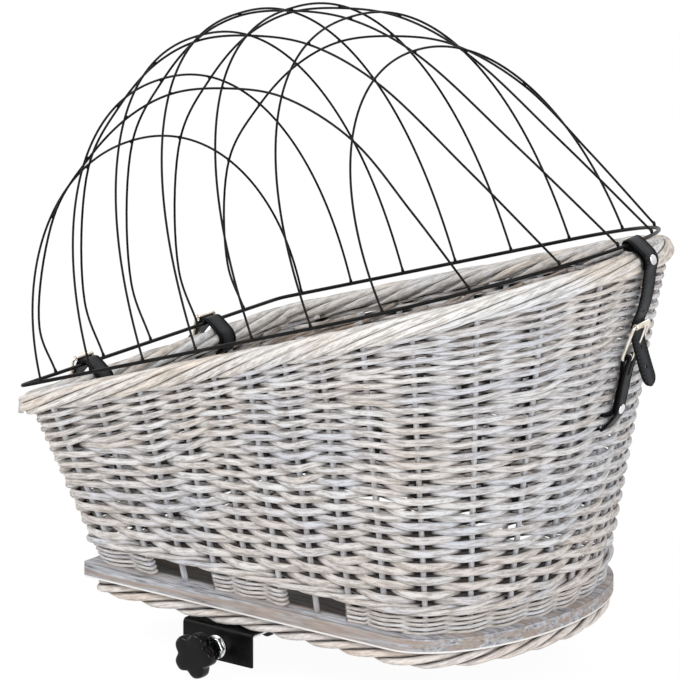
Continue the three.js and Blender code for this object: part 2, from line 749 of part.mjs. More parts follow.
class CrossArch extends THREE.Curve {
  constructor({ along, height, lean, fullness }) {
    super();
    this.along = along / Math.cos(slope);
    this.halfWidth = halfWidthAt(ringOutline, this.along);
    this.height = height;
    this.lean = THREE.MathUtils.degToRad(lean);
    this.fullness = fullness;
  }

  getPoint(t, target = new THREE.Vector3()) {
    return this.at(Math.PI * t, target);
  }

  at(angle, target = new THREE.Vector3()) {
    const power = 2 / this.fullness;
    const across = Math.sign(Math.cos(angle)) * Math.abs(Math.cos(angle)) ** power;
    const up = Math.max(Math.sin(angle), 0) ** power;
    const risen = this.height * up;
    return target.set(
      this.along + risen * Math.sin(this.lean),
      -this.halfWidth * across,
      archFoot + risen * Math.cos(this.lean),
    );
  }

  angleAt(offset) {
    const share = Math.abs(offset) / this.halfWidth;
    const angle = Math.acos(share ** (this.fullness / 2));
    return offset < 0 ? angle : Math.PI - angle;
  }
}

function longArch({ foot, crown }, crossArches) {
  const reach = reachAt(ringOutline, foot);
  const tallest = Math.max(...crossArches.map((arch) => arch.height));
  const angles = crossArches.map((arch) =>
    arch.angleAt(THREE.MathUtils.lerp(foot, crown, arch.height / tallest)),
  );
  const onArches = crossArches.map((arch, i) => arch.at(angles[i]));
  const throughFeet = (points) => {
    const first = points[0];
    const last = points[points.length - 1];
    const lowFoot = new THREE.Vector3(0, foot, archFoot);
    const highFoot = new THREE.Vector3(reach, foot, slantedFoot);
    const lowBulge = new THREE.Vector3(-LOW_END_BULGE, foot, archFoot + LOW_BULGE_AT * first.z);
    const highBulge = last.clone().lerp(highFoot, 0.5);
    const chord = highFoot.clone().sub(last).normalize();
    highBulge.x -= chord.z * HIGH_END_BULGE;
    highBulge.z += chord.x * HIGH_END_BULGE;
    const knots = [lowFoot, lowBulge, ...points, highBulge, highFoot];
    return new THREE.CatmullRomCurve3(knots, false, 'centripetal');
  };
  const draft = throughFeet(onArches);
  const spans = draft.points.length - 1;
  const under = onArches.map((point, i) => {
    const along = draft.getTangent((i + 2) / spans);
    const step = 0.01;
    const ahead = crossArches[i].at(angles[i] + step);
    const across = ahead.sub(crossArches[i].at(angles[i] - step)).normalize();
    const inward = along.cross(across).normalize();
    if (inward.z > 0) {
      inward.negate();
    }
    return point.clone().addScaledVector(inward, ARCH_WIRE + CROSSING_GAP);
  });
  return throughFeet(under);
}

function buildLattice() {
  place(lattice, 'lattice_ring', outlineTube(ringOutline, 0, RING_WIRE, WIRE_SIDES + 2), blackWire);
  const crossArches = CROSS_ARCHES.map((sizes) => new CrossArch(sizes));
  crossArches.forEach((arch, i) => {
    place(lattice, `cross_arch_${i + 1}`, wire(arch, ARCH_WIRE, ARCH_STEPS), blackWire);
  });
  LONG_ARCHES.forEach((offsets, i) => {
    const curve = longArch(offsets, crossArches);
    place(lattice, `long_arch_${i + 1}`, wire(curve, ARCH_WIRE, ARCH_STEPS + 10), blackWire);
  });
}

// Hinge straps: each goes round the rim and the ring wire at the low end, and its tail hangs outside

function hingeStrap() {
  const rimMiddle = [-RIM_INSET, -rimDrop];
  const rimEdge = rimMiddle[0] + RIM_THICKNESS / 2;
  const [front] = movedOut([HINGE_FRONT], rimEdge);
  const buckle = buckleAt(front, HINGE_HEEL_DIRECTION);
  const [facingX, facingZ] = buckle.facing;
  const [heelX, heelZ] = buckle.heel;
  const across = (share, lift) => [
    front[0] + (heelX - front[0]) * share + lift * facingX,
    front[1] + (heelZ - front[1]) * share + lift * facingZ,
  ];
  const path = [
    [heelX - 10.5, heelZ - 1.2],
    [heelX - 6, heelZ + 0.6],
    ...arcPoints(buckle.heel, heelWrap, [110, 60, 10, -40, -90]),
    [heelX - 9, heelZ - 3.6],
    ...arcPoints(rimMiddle, rimWrap, [-78, -110, -140, -170, -200, -220.5]),
    ...arcPoints([0, 0], wireWrap, [139.5, 108]),
    ...arcPoints(front, underRoller, [245]),
    across(0.28, -0.8),
    across(0.46, 2.6),
    ...movedOut(HINGE_TAIL, rimEdge),
  ];
  return { buckle, path };
}

function buildHingeStraps() {
  const { buckle, path } = hingeStrap();
  const tools = [];
  for (const [name, side] of [['near', -1], ['far', 1]]) {
    const set = new THREE.Group();
    set.position.set(0, side * HINGE_STRAP_OFFSET, 0);
    set.rotation.z = Math.PI;
    lattice.add(set);
    const openings = [heelSlot(), prongLine(PRONG_THICKNESS + 2 * CUT_GAP)];
    openings.forEach((tool) => tool.applyMatrix4(buckle.matrix));
    place(set, `hinge_strap_${name}`, cut(band(path, LEATHER, STRAP_WIDTH), openings), blackLeather);
    const names = {
      frame: `hinge_buckle_${name}`,
      prong: `hinge_prong_${name}`,
      roller: `hinge_roller_${name}`,
    };
    placeBuckle(set, names, buckle, HINGE_HEEL_CORNER);
    const tool = band(path, LEATHER + 2 * CUT_GAP, STRAP_WIDTH + 2 * CUT_GAP);
    set.updateMatrix();
    tools.push(tool.applyMatrix4(set.matrix).applyMatrix4(ringPlane));
  }
  return tools;
}

// Closing strap: a loop on the ring wire at the high end, buckled to an anchor strap laced into the wall

function rivet(shank) {
  const head = RIVET_HEAD / 2;
  const stem = RIVET_SHANK / 2;
  const dome = RIVET_HEAD_HEIGHT;
  const profile = [[0, -shank], [stem, -shank], [stem, 0], [head, 0], [head * 0.86, dome * 0.55], [0, dome]];
  return turned(profile, new THREE.Vector3(1, 0, 0), TUBE_SIDES + 2);
}

function rivetHole(shank) {
  const end = new THREE.Vector3(RIVET_HEAD_HEIGHT, 0, 0);
  return rod(new THREE.Vector3(-shank - GAP, 0, 0), end, RIVET_SHANK + 2 * GAP);
}

function placeRivet(set, name, [x, z], degrees, layers) {
  const shank = layers * LEATHER + 2 * GAP;
  const matrix = new THREE.Matrix4().makeTranslation(x, 0, z);
  matrix.multiply(new THREE.Matrix4().makeRotationY(-THREE.MathUtils.degToRad(degrees)));
  place(set, name, rivet(shank), chrome).applyMatrix4(matrix);
  return rivetHole(shank).applyMatrix4(matrix);
}

function buildClosingStrap() {
  const reach = reachAt(ringOutline, CLOSING_STRAP_OFFSET);
  const at = new THREE.Vector3(reach, CLOSING_STRAP_OFFSET, 0).applyMatrix4(ringPlane);
  const roundLength = RING_LENGTH - RING_STRAIGHT;
  const normalX = (at.x - RING_STRAIGHT) / roundLength ** 2;
  const normalY = CLOSING_STRAP_OFFSET / (RING_WIDTH / 2) ** 2;
  const set = new THREE.Group();
  set.position.copy(at);
  set.rotation.z = Math.atan2(normalY, normalX);
  basket.add(set);

  const rimMiddle = [
    -RIM_INSET * Math.cos(slope) + rimDrop * Math.sin(slope),
    -RIM_INSET * Math.sin(slope) - rimDrop * Math.cos(slope),
  ];
  const rimEdge = rimMiddle[0] + RIM_THICKNESS / 2;
  const backLayer = rimWrap + CURVE_GAP;
  const frontLayer = backLayer + LEATHER + CURVE_GAP;
  const [front] = movedOut([CLOSING_FRONT], rimEdge);
  const buckle = buckleAt(front, CLOSING_HEEL_DIRECTION);
  const path = [
    ...arcPoints(rimMiddle, backLayer, [-12, 12, 36, 60, 80]),
    ...arcPoints([0, 0], wireWrap + CURVE_GAP, [-80, -130, -180, -230, -280]),
    ...arcPoints(rimMiddle, frontLayer, [58, 36, 12]),
    ...movedOut(CLOSING_DROP, rimEdge),
    behindRoller(front, buckle.facing),
    ...movedOut(CLOSING_TAIL, rimEdge),
  ];
  const rivetRadius = frontLayer + LEATHER / 2 + GAP;
  const [rivetAt] = arcPoints(rimMiddle, rivetRadius, [CLOSING_RIVET_ANGLE]);
  const topHole = placeRivet(set, 'closing_strap_rivet', rivetAt, CLOSING_RIVET_ANGLE, 2);
  const prongHole = prongLine(PRONG_THICKNESS + 2 * CUT_GAP).applyMatrix4(buckle.matrix);
  place(set, 'closing_strap', cut(band(path, LEATHER, STRAP_WIDTH), [topHole, prongHole]), blackLeather);

  const names = { frame: 'closing_buckle', prong: 'closing_prong', roller: 'closing_roller' };
  placeBuckle(set, names, buckle, CLOSING_HEEL_CORNER);
  const tool = buildAnchorStrap(set, buckle, at);
  set.updateMatrix();
  return tool.applyMatrix4(set.matrix);
}

function buildAnchorStrap(set, buckle, ringPoint) {
  const wallFoothold = reachAt(wallFoot, CLOSING_STRAP_OFFSET) - ringPoint.x;
  const wallCrest = reachAt(wallHead, CLOSING_STRAP_OFFSET) - ringPoint.x;
  const onWall = ([out, z]) => {
    const share = (ringPoint.z + z - boardTop) / (headHeight(ringPoint.x) - boardTop);
    return [THREE.MathUtils.lerp(wallFoothold, wallCrest, share) + out, z];
  };
  const [rivetX, rivetZ] = onWall(ANCHOR_RIVET);
  const [heelX, heelZ] = buckle.heel;
  const downwards = THREE.MathUtils.radToDeg(Math.atan2(rivetZ - heelZ, rivetX - heelX));
  const outwards = downwards + 90;
  const [outX, outZ] = arcPoints([0, 0], 1, [outwards])[0];
  const layerGap = (LEATHER + ANCHOR_LAYER_GAP) / 2;
  const leg = (share, side) => {
    const apart = side * THREE.MathUtils.lerp(heelWrap, layerGap, Math.min(3 * share, 1));
    return [
      THREE.MathUtils.lerp(heelX, rivetX, share) + apart * outX,
      THREE.MathUtils.lerp(heelZ, rivetZ, share) + apart * outZ,
    ];
  };
  const halfTurn = [180, 135, 90, 45, 0].map((degrees) => outwards + degrees);
  const path = [
    ...arcPoints(buckle.heel, heelWrap, halfTurn),
    ...[0.2, 0.4, 0.7, 1, 1.1].map((share) => leg(share, 1)),
    ...ANCHOR_LOWER_LEG.map(onWall),
    ...ANCHOR_UPPER_LEG.map(onWall),
    ...[1.1, 1, 0.7, 0.4, 0.2].map((share) => leg(share, -1)),
  ];
  const headLift = layerGap + LEATHER / 2 + GAP;
  const headAt = [rivetX + headLift * outX, rivetZ + headLift * outZ];
  const hole = placeRivet(set, 'anchor_rivet', headAt, outwards, 2);
  const slot = heelSlot(PRONG_SLOT_TAIL, PRONG_SLOT_TAIL / 2).applyMatrix4(buckle.matrix);
  const strap = band(path, LEATHER, ANCHOR_WIDTH, { closed: true });
  place(set, 'anchor_strap', cut(strap, [hole, slot]), blackLeather);
  return band(path, LEATHER + 2 * CUT_GAP, ANCHOR_WIDTH + 2 * CUT_GAP, { closed: true });
}

buildBoard();
buildClamp();
buildLattice();
const strapTools = [...buildHingeStraps(), buildClosingStrap()];
buildWall(strapTools);

const part = new THREE.Group();
part.add(basket);

export default part;
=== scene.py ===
"""Looks of a willow dog basket for a bicycle carrier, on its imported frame. Metres, +Z up."""
import json
import math
import random

import bpy
import numpy as np
from mathutils import Matrix, Vector

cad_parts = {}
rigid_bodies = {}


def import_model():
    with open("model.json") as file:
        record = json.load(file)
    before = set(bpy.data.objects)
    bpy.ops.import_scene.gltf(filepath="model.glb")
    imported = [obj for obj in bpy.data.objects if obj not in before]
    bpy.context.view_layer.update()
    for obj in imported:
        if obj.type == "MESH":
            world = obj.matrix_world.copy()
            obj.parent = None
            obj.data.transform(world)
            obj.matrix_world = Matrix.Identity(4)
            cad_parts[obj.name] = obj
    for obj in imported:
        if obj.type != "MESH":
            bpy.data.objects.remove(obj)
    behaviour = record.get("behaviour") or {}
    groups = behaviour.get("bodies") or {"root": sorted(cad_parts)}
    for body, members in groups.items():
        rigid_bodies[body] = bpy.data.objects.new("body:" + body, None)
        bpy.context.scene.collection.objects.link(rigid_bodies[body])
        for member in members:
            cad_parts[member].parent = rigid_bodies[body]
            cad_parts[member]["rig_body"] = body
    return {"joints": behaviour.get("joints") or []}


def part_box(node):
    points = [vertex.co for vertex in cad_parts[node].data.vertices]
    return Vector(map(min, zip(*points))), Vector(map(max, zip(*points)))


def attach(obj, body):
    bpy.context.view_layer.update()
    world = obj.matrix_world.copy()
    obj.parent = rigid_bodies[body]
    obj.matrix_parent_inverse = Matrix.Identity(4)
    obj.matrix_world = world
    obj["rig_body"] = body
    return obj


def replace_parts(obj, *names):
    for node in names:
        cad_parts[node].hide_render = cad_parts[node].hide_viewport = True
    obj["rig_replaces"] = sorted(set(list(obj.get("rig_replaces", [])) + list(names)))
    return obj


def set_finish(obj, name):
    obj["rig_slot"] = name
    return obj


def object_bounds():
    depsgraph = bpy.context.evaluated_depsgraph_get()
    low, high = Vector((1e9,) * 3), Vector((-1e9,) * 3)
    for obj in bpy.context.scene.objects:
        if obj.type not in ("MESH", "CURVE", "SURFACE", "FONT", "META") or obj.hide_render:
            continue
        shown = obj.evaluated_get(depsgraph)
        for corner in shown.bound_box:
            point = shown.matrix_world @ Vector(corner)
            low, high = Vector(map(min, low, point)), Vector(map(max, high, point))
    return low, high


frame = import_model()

cad_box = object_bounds()

MM = 0.001
SEED = 11

# Photograph's camera
CAMERA_TURN = 38.5
CAMERA_RISE = 16.0
CAMERA_DISTANCE = 8.0
CAMERA_TARGET = (24.05 * MM, 0.0, 218.97 * MM)
CAMERA_VIEW = 553.6 * MM
SENSOR = 36.0

# Ring of the lattice and the places that follow from it
joints = {joint["name"]: joint for joint in frame["joints"]}
LOW_END, _, RING_HEIGHT = joints["lattice_hinge"]["pos_m"]
SLOPE = math.radians(18.684)
RING_HALF_WIDTH = 169.5 * MM
RING_STRAIGHT = 319.85 * MM
RING_END = 508.81 * MM
RING_CORNER = 8 * MM
RING_WIRE = 3.1 * MM
ARCH_WIRE = 1.95 * MM
RIM_DROP = 15.829 * MM
RIM_INSET = 1.5 * MM

# Willow
STAKES = 33
STAKE_GIRTH = 2.4 * MM
SLOTS = ((6, 138.5 * MM), (10, 274 * MM))
STAKE_HEADS = ((6, 284.3 * MM), (10, 429.1 * MM), (13, 542 * MM))
WALL_DROP = 27.27 * MM
ROWS_PAST_TOP = 3.5 * MM
ROWS_CROWDING = 0.28
WEAVE_DEPTH = 3.7 * MM
FULL_ROWS = 20
LOW_HALF_ROWS = 22
ROD_STEPS = 10
ROD_TUCK = 0.3
STAKE_STEPS = 24
SHORT_PAIRS = 16
SHORT_ROWS_FROM = 36 * MM
SHORT_ROWS_TO = 446 * MM
INNER_END_APART = 0.3
INNER_END_STEPS = 14
SEAM_STAKE = -4
BAND_ROWS = 4
BAND_BOTTOM = 33.4 * MM
BAND_PITCH = 3.95 * MM
BAND_DEPTH = 3.2 * MM
BAND_FOLD = 0.09
WALE_MIDDLE = 53.0 * MM
WALE_RISE = 3.3 * MM
WALE_DEPTH = 4.3 * MM
WALE_GIRTH = 2.55 * MM
WEAVE_BOTTOM = 57.6 * MM
BORDER_STEPS = 92
BORDER_TURN = (-118, 236)
RIM_CORE = 6.8 * MM
RIM_STRAND = 3.15 * MM
RIM_LAY = 6.2
BRAID_CORE = 4.5 * MM
BRAID_STRAND = 3.15 * MM
BRAID_LAY = 4.0
BRAID_HEIGHT = 10.3 * MM

BOARD_LOW, BOARD_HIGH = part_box("base_board")
BOARD_TOP = BOARD_HIGH.z


# Small geometry

def unit(vectors):
    return vectors / np.linalg.norm(vectors, axis=-1, keepdims=True)


def eased(share):
    share = np.clip(share, 0, 1)
    return share * share * (3 - 2 * share)


def directions(path, closed):
    """Directions along a path."""
    if closed:
        return unit(np.roll(path, -1, axis=0) - np.roll(path, 1, axis=0))
    return unit(np.gradient(path, axis=0))


def running_length(path):
    """Distance from a path's start to each of its points."""
    return np.concatenate(([0], np.cumsum(np.linalg.norm(np.diff(path, axis=0), axis=1))))


def ring_quads(count, around, closed):
    """Corner numbers of the faces between each ring of points and the next."""
    i, j = np.meshgrid(np.arange(count if closed else count - 1), np.arange(around), indexing="ij")
    i, j = i.ravel(), j.ravel()
    after, beside = (i + 1) % count, (j + 1) % around
    return np.stack((i * around + j, after * around + j, after * around + beside, i * around + beside), axis=1)


def axis_of(place, *axis):
    """Direction of one of a place's axes in part coordinates."""
    return np.array((place.to_3x3() @ Vector(axis))[:])


def on_ring_plane(along, across, above):
    """Part coordinates of a point given along the sloping ring, across it and square to it."""
    x = LOW_END + along * math.cos(SLOPE) - above * math.sin(SLOPE)
    z = RING_HEIGHT + along * math.sin(SLOPE) + above * math.cos(SLOPE)
    return np.stack(np.broadcast_arrays(x, across, z), axis=-1)


class Outline:
    """A D shape, measured along its edge from the middle of its low end, near side first."""

    def __init__(self, low, straight, high, half_width, corner):
        self.low, self.half_width, self.corner = low, half_width, corner
        turn = np.linspace(0, math.pi / 2, 24)
        bow = np.linspace(-math.pi / 2, math.pi / 2, 200)
        side, end = low + corner, half_width - corner
        near = (side - corner * np.cos(turn), -end - corner * np.sin(turn))
        far = (side - corner * np.sin(turn), end + corner * np.cos(turn))
        high_end = (straight + (high - straight) * np.cos(bow), half_width * np.sin(bow))
        x = np.concatenate(([low], near[0], high_end[0], far[0], [low]))
        y = np.concatenate(([0], near[1], high_end[1], far[1], [0]))
        steps = np.hypot(np.diff(x), np.diff(y))
        self.x, self.y = x, y
        self.distances = np.concatenate(([0], np.cumsum(steps)))
        self.length = self.distances[-1]

    def at(self, distance):
        distance = np.mod(distance, self.length)
        return np.interp(distance, self.distances, self.x), np.interp(distance, self.distances, self.y)

    def outward(self, distance, reach):
        x0, y0 = self.at(distance - reach)
        x1, y1 = self.at(distance + reach)
        return unit(np.stack((y1 - y0, x0 - x1), axis=-1))

    def near_side(self, x):
        """Distance to a place on the straight near side."""
        return self.half_width - self.corner + self.corner * math.pi / 2 + x - self.low - self.corner


class StakePlaces:
    """Distance along an outline for any stake number, spread between known stakes and the same on both sides."""

    def __init__(self, outline, known):
        self.outline = outline
        numbers, distances = zip(*known, (STAKES / 2, outline.length / 2))
        self.numbers = np.arange(-2 * STAKES, 3 * STAKES + 0.01, 1 / 16)
        lap = np.floor(self.numbers / STAKES)
        within = self.numbers - lap * STAKES
        mirrored = within > STAKES / 2
        half = np.interp(np.where(mirrored, STAKES - within, within), numbers, distances)
        spread = np.where(mirrored, outline.length - half, half) + lap * outline.length
        window = np.hanning(51)
        self.distances = np.convolve(spread, window / window.sum(), mode="same")

    def distance(self, number):
        return np.interp(number, self.numbers, self.distances)

    def at(self, number):
        return self.outline.at(self.distance(number))


class Wall:
    """Middle of the woven wall: each stake leans straight from the foot outline to the head outline."""

    def __init__(self):
        foot = Outline(low=LOW_END + 47 * MM, straight=LOW_END + 355.5 * MM, high=LOW_END + 418.5 * MM,
                       half_width=123 * MM, corner=6 * MM)
        head = Outline(low=LOW_END + 6.49 * MM, straight=LOW_END + 308.07 * MM, high=LOW_END + 485.65 * MM,
                       half_width=168 * MM, corner=22 * MM)
        slots = [(stake, foot.near_side(LOW_END + place)) for stake, place in SLOTS]
        self.foot = StakePlaces(foot, [(0, 0), *slots])
        self.head = StakePlaces(head, [(0, 0), *STAKE_HEADS])

    def top(self, number):
        x, _ = self.head.at(number)
        return RING_HEIGHT + (x - LOW_END) * math.tan(SLOPE) - WALL_DROP

    def at(self, number, height):
        foot_x, foot_y = self.foot.at(number)
        head_x, head_y = self.head.at(number)
        share = (height - BOARD_TOP) / (self.top(number) - BOARD_TOP)
        x = foot_x + (head_x - foot_x) * share
        y = foot_y + (head_y - foot_y) * share
        return np.stack(np.broadcast_arrays(x, y, height), axis=-1)

    def facing(self, number, height):
        """Directions out of the wall and up it."""
        ahead = self.at(number + 0.12, height) - self.at(number - 0.12, height)
        up = unit(self.at(number, height + 2 * MM) - self.at(number, height - 2 * MM))
        return unit(np.cross(ahead, up)), up


class Strands:
    """Rods in one mesh. UVs say where along and round its rod a face is, and an attribute gives each rod's tone and
    its painted shade.
    """

    def __init__(self, sides):
        self.sides = sides
        self.count = 0
        self.points, self.faces, self.uvs, self.tones = [], [], [], []

    def add(self, path, up, half_height, half_depth, tone=(0.5, 0.5), closed=False, shelter=None):
        path = np.asarray(path, float)
        count = len(path)
        along = directions(path, closed)
        up = np.broadcast_to(np.asarray(up, float), path.shape)
        up = unit(up - along * np.sum(up * along, axis=1, keepdims=True))
        out = np.cross(along, up)
        half_height = np.broadcast_to(half_height, count)[:, None, None]
        half_depth = np.broadcast_to(half_depth, count)[:, None, None]
        angle = np.linspace(0, 2 * math.pi, self.sides, endpoint=False)[None, :, None]
        rings = path[:, None] + out[:, None] * half_depth * np.cos(angle) + up[:, None] * half_height * np.sin(angle)
        length = running_length(path)
        quads = ring_quads(count, self.sides, closed)
        i, j = np.divmod(quads[:, 0], self.sides)
        after = quads[:, 1] // self.sides
        far = np.where(after > i, length[after], length[i] + MM)
        around = np.stack((j, j, j + 1, j + 1), axis=1) / self.sides
        lengthwise = np.stack((length[i], far, far, length[i]), axis=1)
        self.points.append(rings.reshape(-1, 3))
        self.faces.extend((quads + self.count).tolist())
        self.uvs.append(np.stack((lengthwise, around), axis=-1).reshape(-1, 2))
        shade = np.empty((count * self.sides, 4))
        shade[:] = (tone[0], tone[1], 0, 1)
        # The attribute's third channel holds painted shade, given for each point round the rod.
        if shelter is not None:
            shade[:, 2] = shelter(angle[0, :, 0]).reshape(-1)
        self.tones.append(shade)
        if not closed:
            first = list(range(self.count, self.count + self.sides))
            last = [n + (count - 1) * self.sides for n in first]
            self.faces += [first, last[::-1]]
            ends = np.stack((np.zeros(self.sides), np.arange(self.sides)[::-1] / self.sides), axis=1)
            self.uvs.extend((ends, ends))
        self.count += count * self.sides

    def build(self, name):
        mesh = bpy.data.meshes.new(name)
        mesh.from_pydata(np.concatenate(self.points).tolist(), [], self.faces)
        layer = mesh.uv_layers.new(name="rod_length")
        layer.data.foreach_set("uv", np.concatenate(self.uvs).ravel())
        tone = mesh.attributes.new("rod_tone", "FLOAT_COLOR", "POINT")
        tone.data.foreach_set("color", np.concatenate(self.tones).ravel())
        mesh.polygons.foreach_set("use_smooth", [len(face) == 4 for face in self.faces])
        mesh.update()
        return put_in_scene(name, mesh)


def put_in_scene(name, data):
    """A new object for a mesh, a lamp or a camera."""
    piece = bpy.data.objects.new(name, data)
    bpy.context.scene.collection.objects.link(piece)
    return piece


def settle(piece, finish, slot, body, *nodes):
    """Gives a piece its finish, and says which body carries it and which nodes it stands for."""
    piece.data.materials.clear()
    piece.data.materials.append(finish)
    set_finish(piece, slot)
    if nodes:
        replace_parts(piece, *nodes)
    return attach(piece, body)


def copied(piece, name, move, body, *nodes):
    """A finished piece again, with its own mesh, moved to another place."""
    twin = put_in_scene(name, piece.data.copy())
    twin.data.name = name
    twin.data.transform(move)
    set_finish(twin, piece["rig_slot"])
    if nodes:
        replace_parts(twin, *nodes)
    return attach(twin, body)


def far_twin(piece, move):
    """The far side's copy of a near piece, with the far body and node."""
    words = [piece.name, piece["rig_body"], *piece.get("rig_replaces", [])]
    name, body, *nodes = [word.replace("near", "far") for word in words]
    return copied(piece, name, move, body, *nodes)


# Finishes

FLOAT = "NodeSocketFloat"
FLECK_BROWN = (0.16, 0.1, 0.065)
# Colour of the painted shade on rod faces hidden in the weave's gaps and turned to the core of a border.
PAINTED_SHADE_DARK = (0.012, 0.01, 0.009)


class Nodes:
    """Short ways to add nodes to a tree. Most give the new node's output."""

    def __init__(self, tree):
        self.tree = tree

    def put(self, value, socket):
        """Links a socket to a node's output, or gives it a plain value."""
        if isinstance(value, bpy.types.NodeSocket):
            self.tree.links.new(value, socket)
        elif isinstance(value, tuple) and len(value) < len(socket.default_value):
            socket.default_value = (*value, 1)
        else:
            socket.default_value = value

    def add(self, kind, values=None, **settings):
        node = self.tree.nodes.new(kind)
        for key, value in settings.items():
            setattr(node, key, value)
        for key, value in (values or {}).items():
            self.put(value, node.inputs[key])
        return node

    def math(self, operation, *values):
        return self.add("ShaderNodeMath", dict(enumerate(values)), operation=operation).outputs[0]

    def place(self):
        return self.add("ShaderNodeTexCoord").outputs["Object"]

    def stretched(self, vector, **values):
        return self.add("ShaderNodeMapping", {"Vector": vector, **values}).outputs[0]

    def noise(self, vector, scale, detail, **more):
        values = {"Vector": vector, "Scale": scale, "Detail": detail, **more}
        return self.add("ShaderNodeTexNoise", values).outputs[0]

    def ramp(self, source, stops):
        node = self.add("ShaderNodeValToRGB", {0: source})
        while len(node.color_ramp.elements) < len(stops):
            node.color_ramp.elements.new(0.5)
        for element, (place, colour) in zip(node.color_ramp.elements, stops):
            element.position = place
            element.color = (*colour, 1)
        return node.outputs[0]

    def mixed(self, share, first, second, blend="MIX"):
        values = {0: share, 6: first, 7: second}
        return self.add("ShaderNodeMix", values, data_type="RGBA", blend_type=blend).outputs[2]

    def tinted(self, colour, tint, *range_of_share):
        """A colour with a tint over it, as strong as a ranged value."""
        return self.mixed(self.ranged(*range_of_share), colour, tint)

    def ranged(self, source, low, high, to_low=0.0, to_high=1.0):
        values = (source, low, high, to_low, to_high)
        return self.add("ShaderNodeMapRange", dict(enumerate(values))).outputs[0]

    def bump(self, height, strength, distance):
        values = {"Height": height, "Strength": strength, "Distance": distance}
        return self.add("ShaderNodeBump", values).outputs[0]


class Finish(Nodes):
    """A material being made, with its shader's plain values set."""

    def __init__(self, name, **settings):
        self.material = bpy.data.materials.new(name)
        self.material.use_nodes = True
        super().__init__(self.material.node_tree)
        self.shader = self.tree.nodes["Principled BSDF"]
        for key, value in settings.items():
            self.shader.inputs[key.replace("_", " ")].default_value = value

    def effect(self, group, **values):
        """Places a shared effect with its own values, and gives its results."""
        values = {key.replace("_", " "): value for key, value in values.items()}
        return self.add("ShaderNodeGroup", values, node_tree=group).outputs

    def done(self, colour, rough, normal=None):
        """Links what varies over the surface and gives the material."""
        self.put(colour, self.shader.inputs["Base Color"])
        self.put(rough, self.shader.inputs["Roughness"])
        if normal is not None:
            self.put(normal, self.shader.inputs["Normal"])
        return self.material


def shared_effect(make, *inputs):
    """A node group for an effect that several finishes use. make adds its nodes and gives its named results."""
    group = bpy.data.node_groups.new(make.__name__, "ShaderNodeTree")
    for label in inputs:
        group.interface.new_socket(label, in_out="INPUT", socket_type=FLOAT)
    nodes = Nodes(group)
    results = make(nodes, nodes.add("NodeGroupInput").outputs)
    for label in results:
        group.interface.new_socket(label, in_out="OUTPUT", socket_type=FLOAT)
    out = nodes.add("NodeGroupOutput").inputs
    for label, value in results.items():
        nodes.put(value, out[label])
    return group


def rod_fibre(nodes, given):
    """Fibres along a rod, washed patches across the basket, flecks, and each rod's tone and painted shade from its
    attribute.
    """
    rod_length = nodes.add("ShaderNodeUVMap", uv_map="rod_length").outputs[0]
    uv = nodes.add("ShaderNodeSeparateXYZ", {0: rod_length}).outputs
    rod_tone = nodes.add("ShaderNodeAttribute", attribute_name="rod_tone").outputs[0]
    tone = nodes.add("ShaderNodeSeparateColor", {0: rod_tone}).outputs
    turn = nodes.math("MULTIPLY", uv[1], 2 * math.pi)
    across = nodes.math("MULTIPLY", nodes.math("SINE", turn), given["Fibres"])
    along = nodes.math("MULTIPLY", nodes.math("COSINE", turn), given["Fibres"])
    start = nodes.math("ADD", nodes.math("MULTIPLY", uv[0], 80.0), nodes.math("MULTIPLY", tone[0], 83.0))
    fibre_at = nodes.add("ShaderNodeCombineXYZ", {0: start, 1: across, 2: along}).outputs[0]
    place = nodes.place()
    return {"Fibre": nodes.noise(fibre_at, 1.0, 4.0, Roughness=0.62),
            "Patch": nodes.noise(place, given["Patch Scale"], 3.0),
            "Fleck": nodes.noise(place, 420.0, 2.0, Roughness=0.7),
            "Tone": tone[0], "Warmth": tone[1], "Shelter": tone[2]}


def wood_grain(nodes, given):
    """Grain along X, broad streaks with it, and places where the wash is thin."""
    place = nodes.place()
    return {"Grain": nodes.noise(nodes.stretched(place, Scale=(34.0, 240.0, 420.0)), 1.0, 5.0, Roughness=0.65),
            "Streaks": nodes.noise(nodes.stretched(place, Scale=(9.0, 70.0, 210.0)), 1.0, 3.0, Distortion=0.6),
            "Thin": nodes.noise(place, given["Wash Scale"], 3.0)}


def metal_wear(nodes, given):
    """Fine handling scratches on a slant, and duller patches."""
    place = nodes.place()
    scale = nodes.add("ShaderNodeCombineXYZ", {0: given["Scratch Scale"], 1: 40.0, 2: 40.0}).outputs[0]
    slanting = nodes.stretched(place, Rotation=(0.4, 0.9, 0.3), Scale=scale)
    return {"Scratches": nodes.noise(slanting, 1.0, 4.0, Roughness=0.7), "Patches": nodes.noise(place, 90.0, 3.0)}


def moulded_dust(nodes, given):
    """Dusty places and a faint grain."""
    place = nodes.place()
    return {"Dust": nodes.noise(place, 60.0, 4.0), "Speck": nodes.noise(place, given["Speck Scale"], 3.0)}


ROD_FIBRE = shared_effect(rod_fibre, "Fibres", "Patch Scale")
WOOD_GRAIN = shared_effect(wood_grain, "Wash Scale")
METAL_WEAR = shared_effect(metal_wear, "Scratch Scale")
MOULDED_DUST = shared_effect(moulded_dust, "Speck Scale")


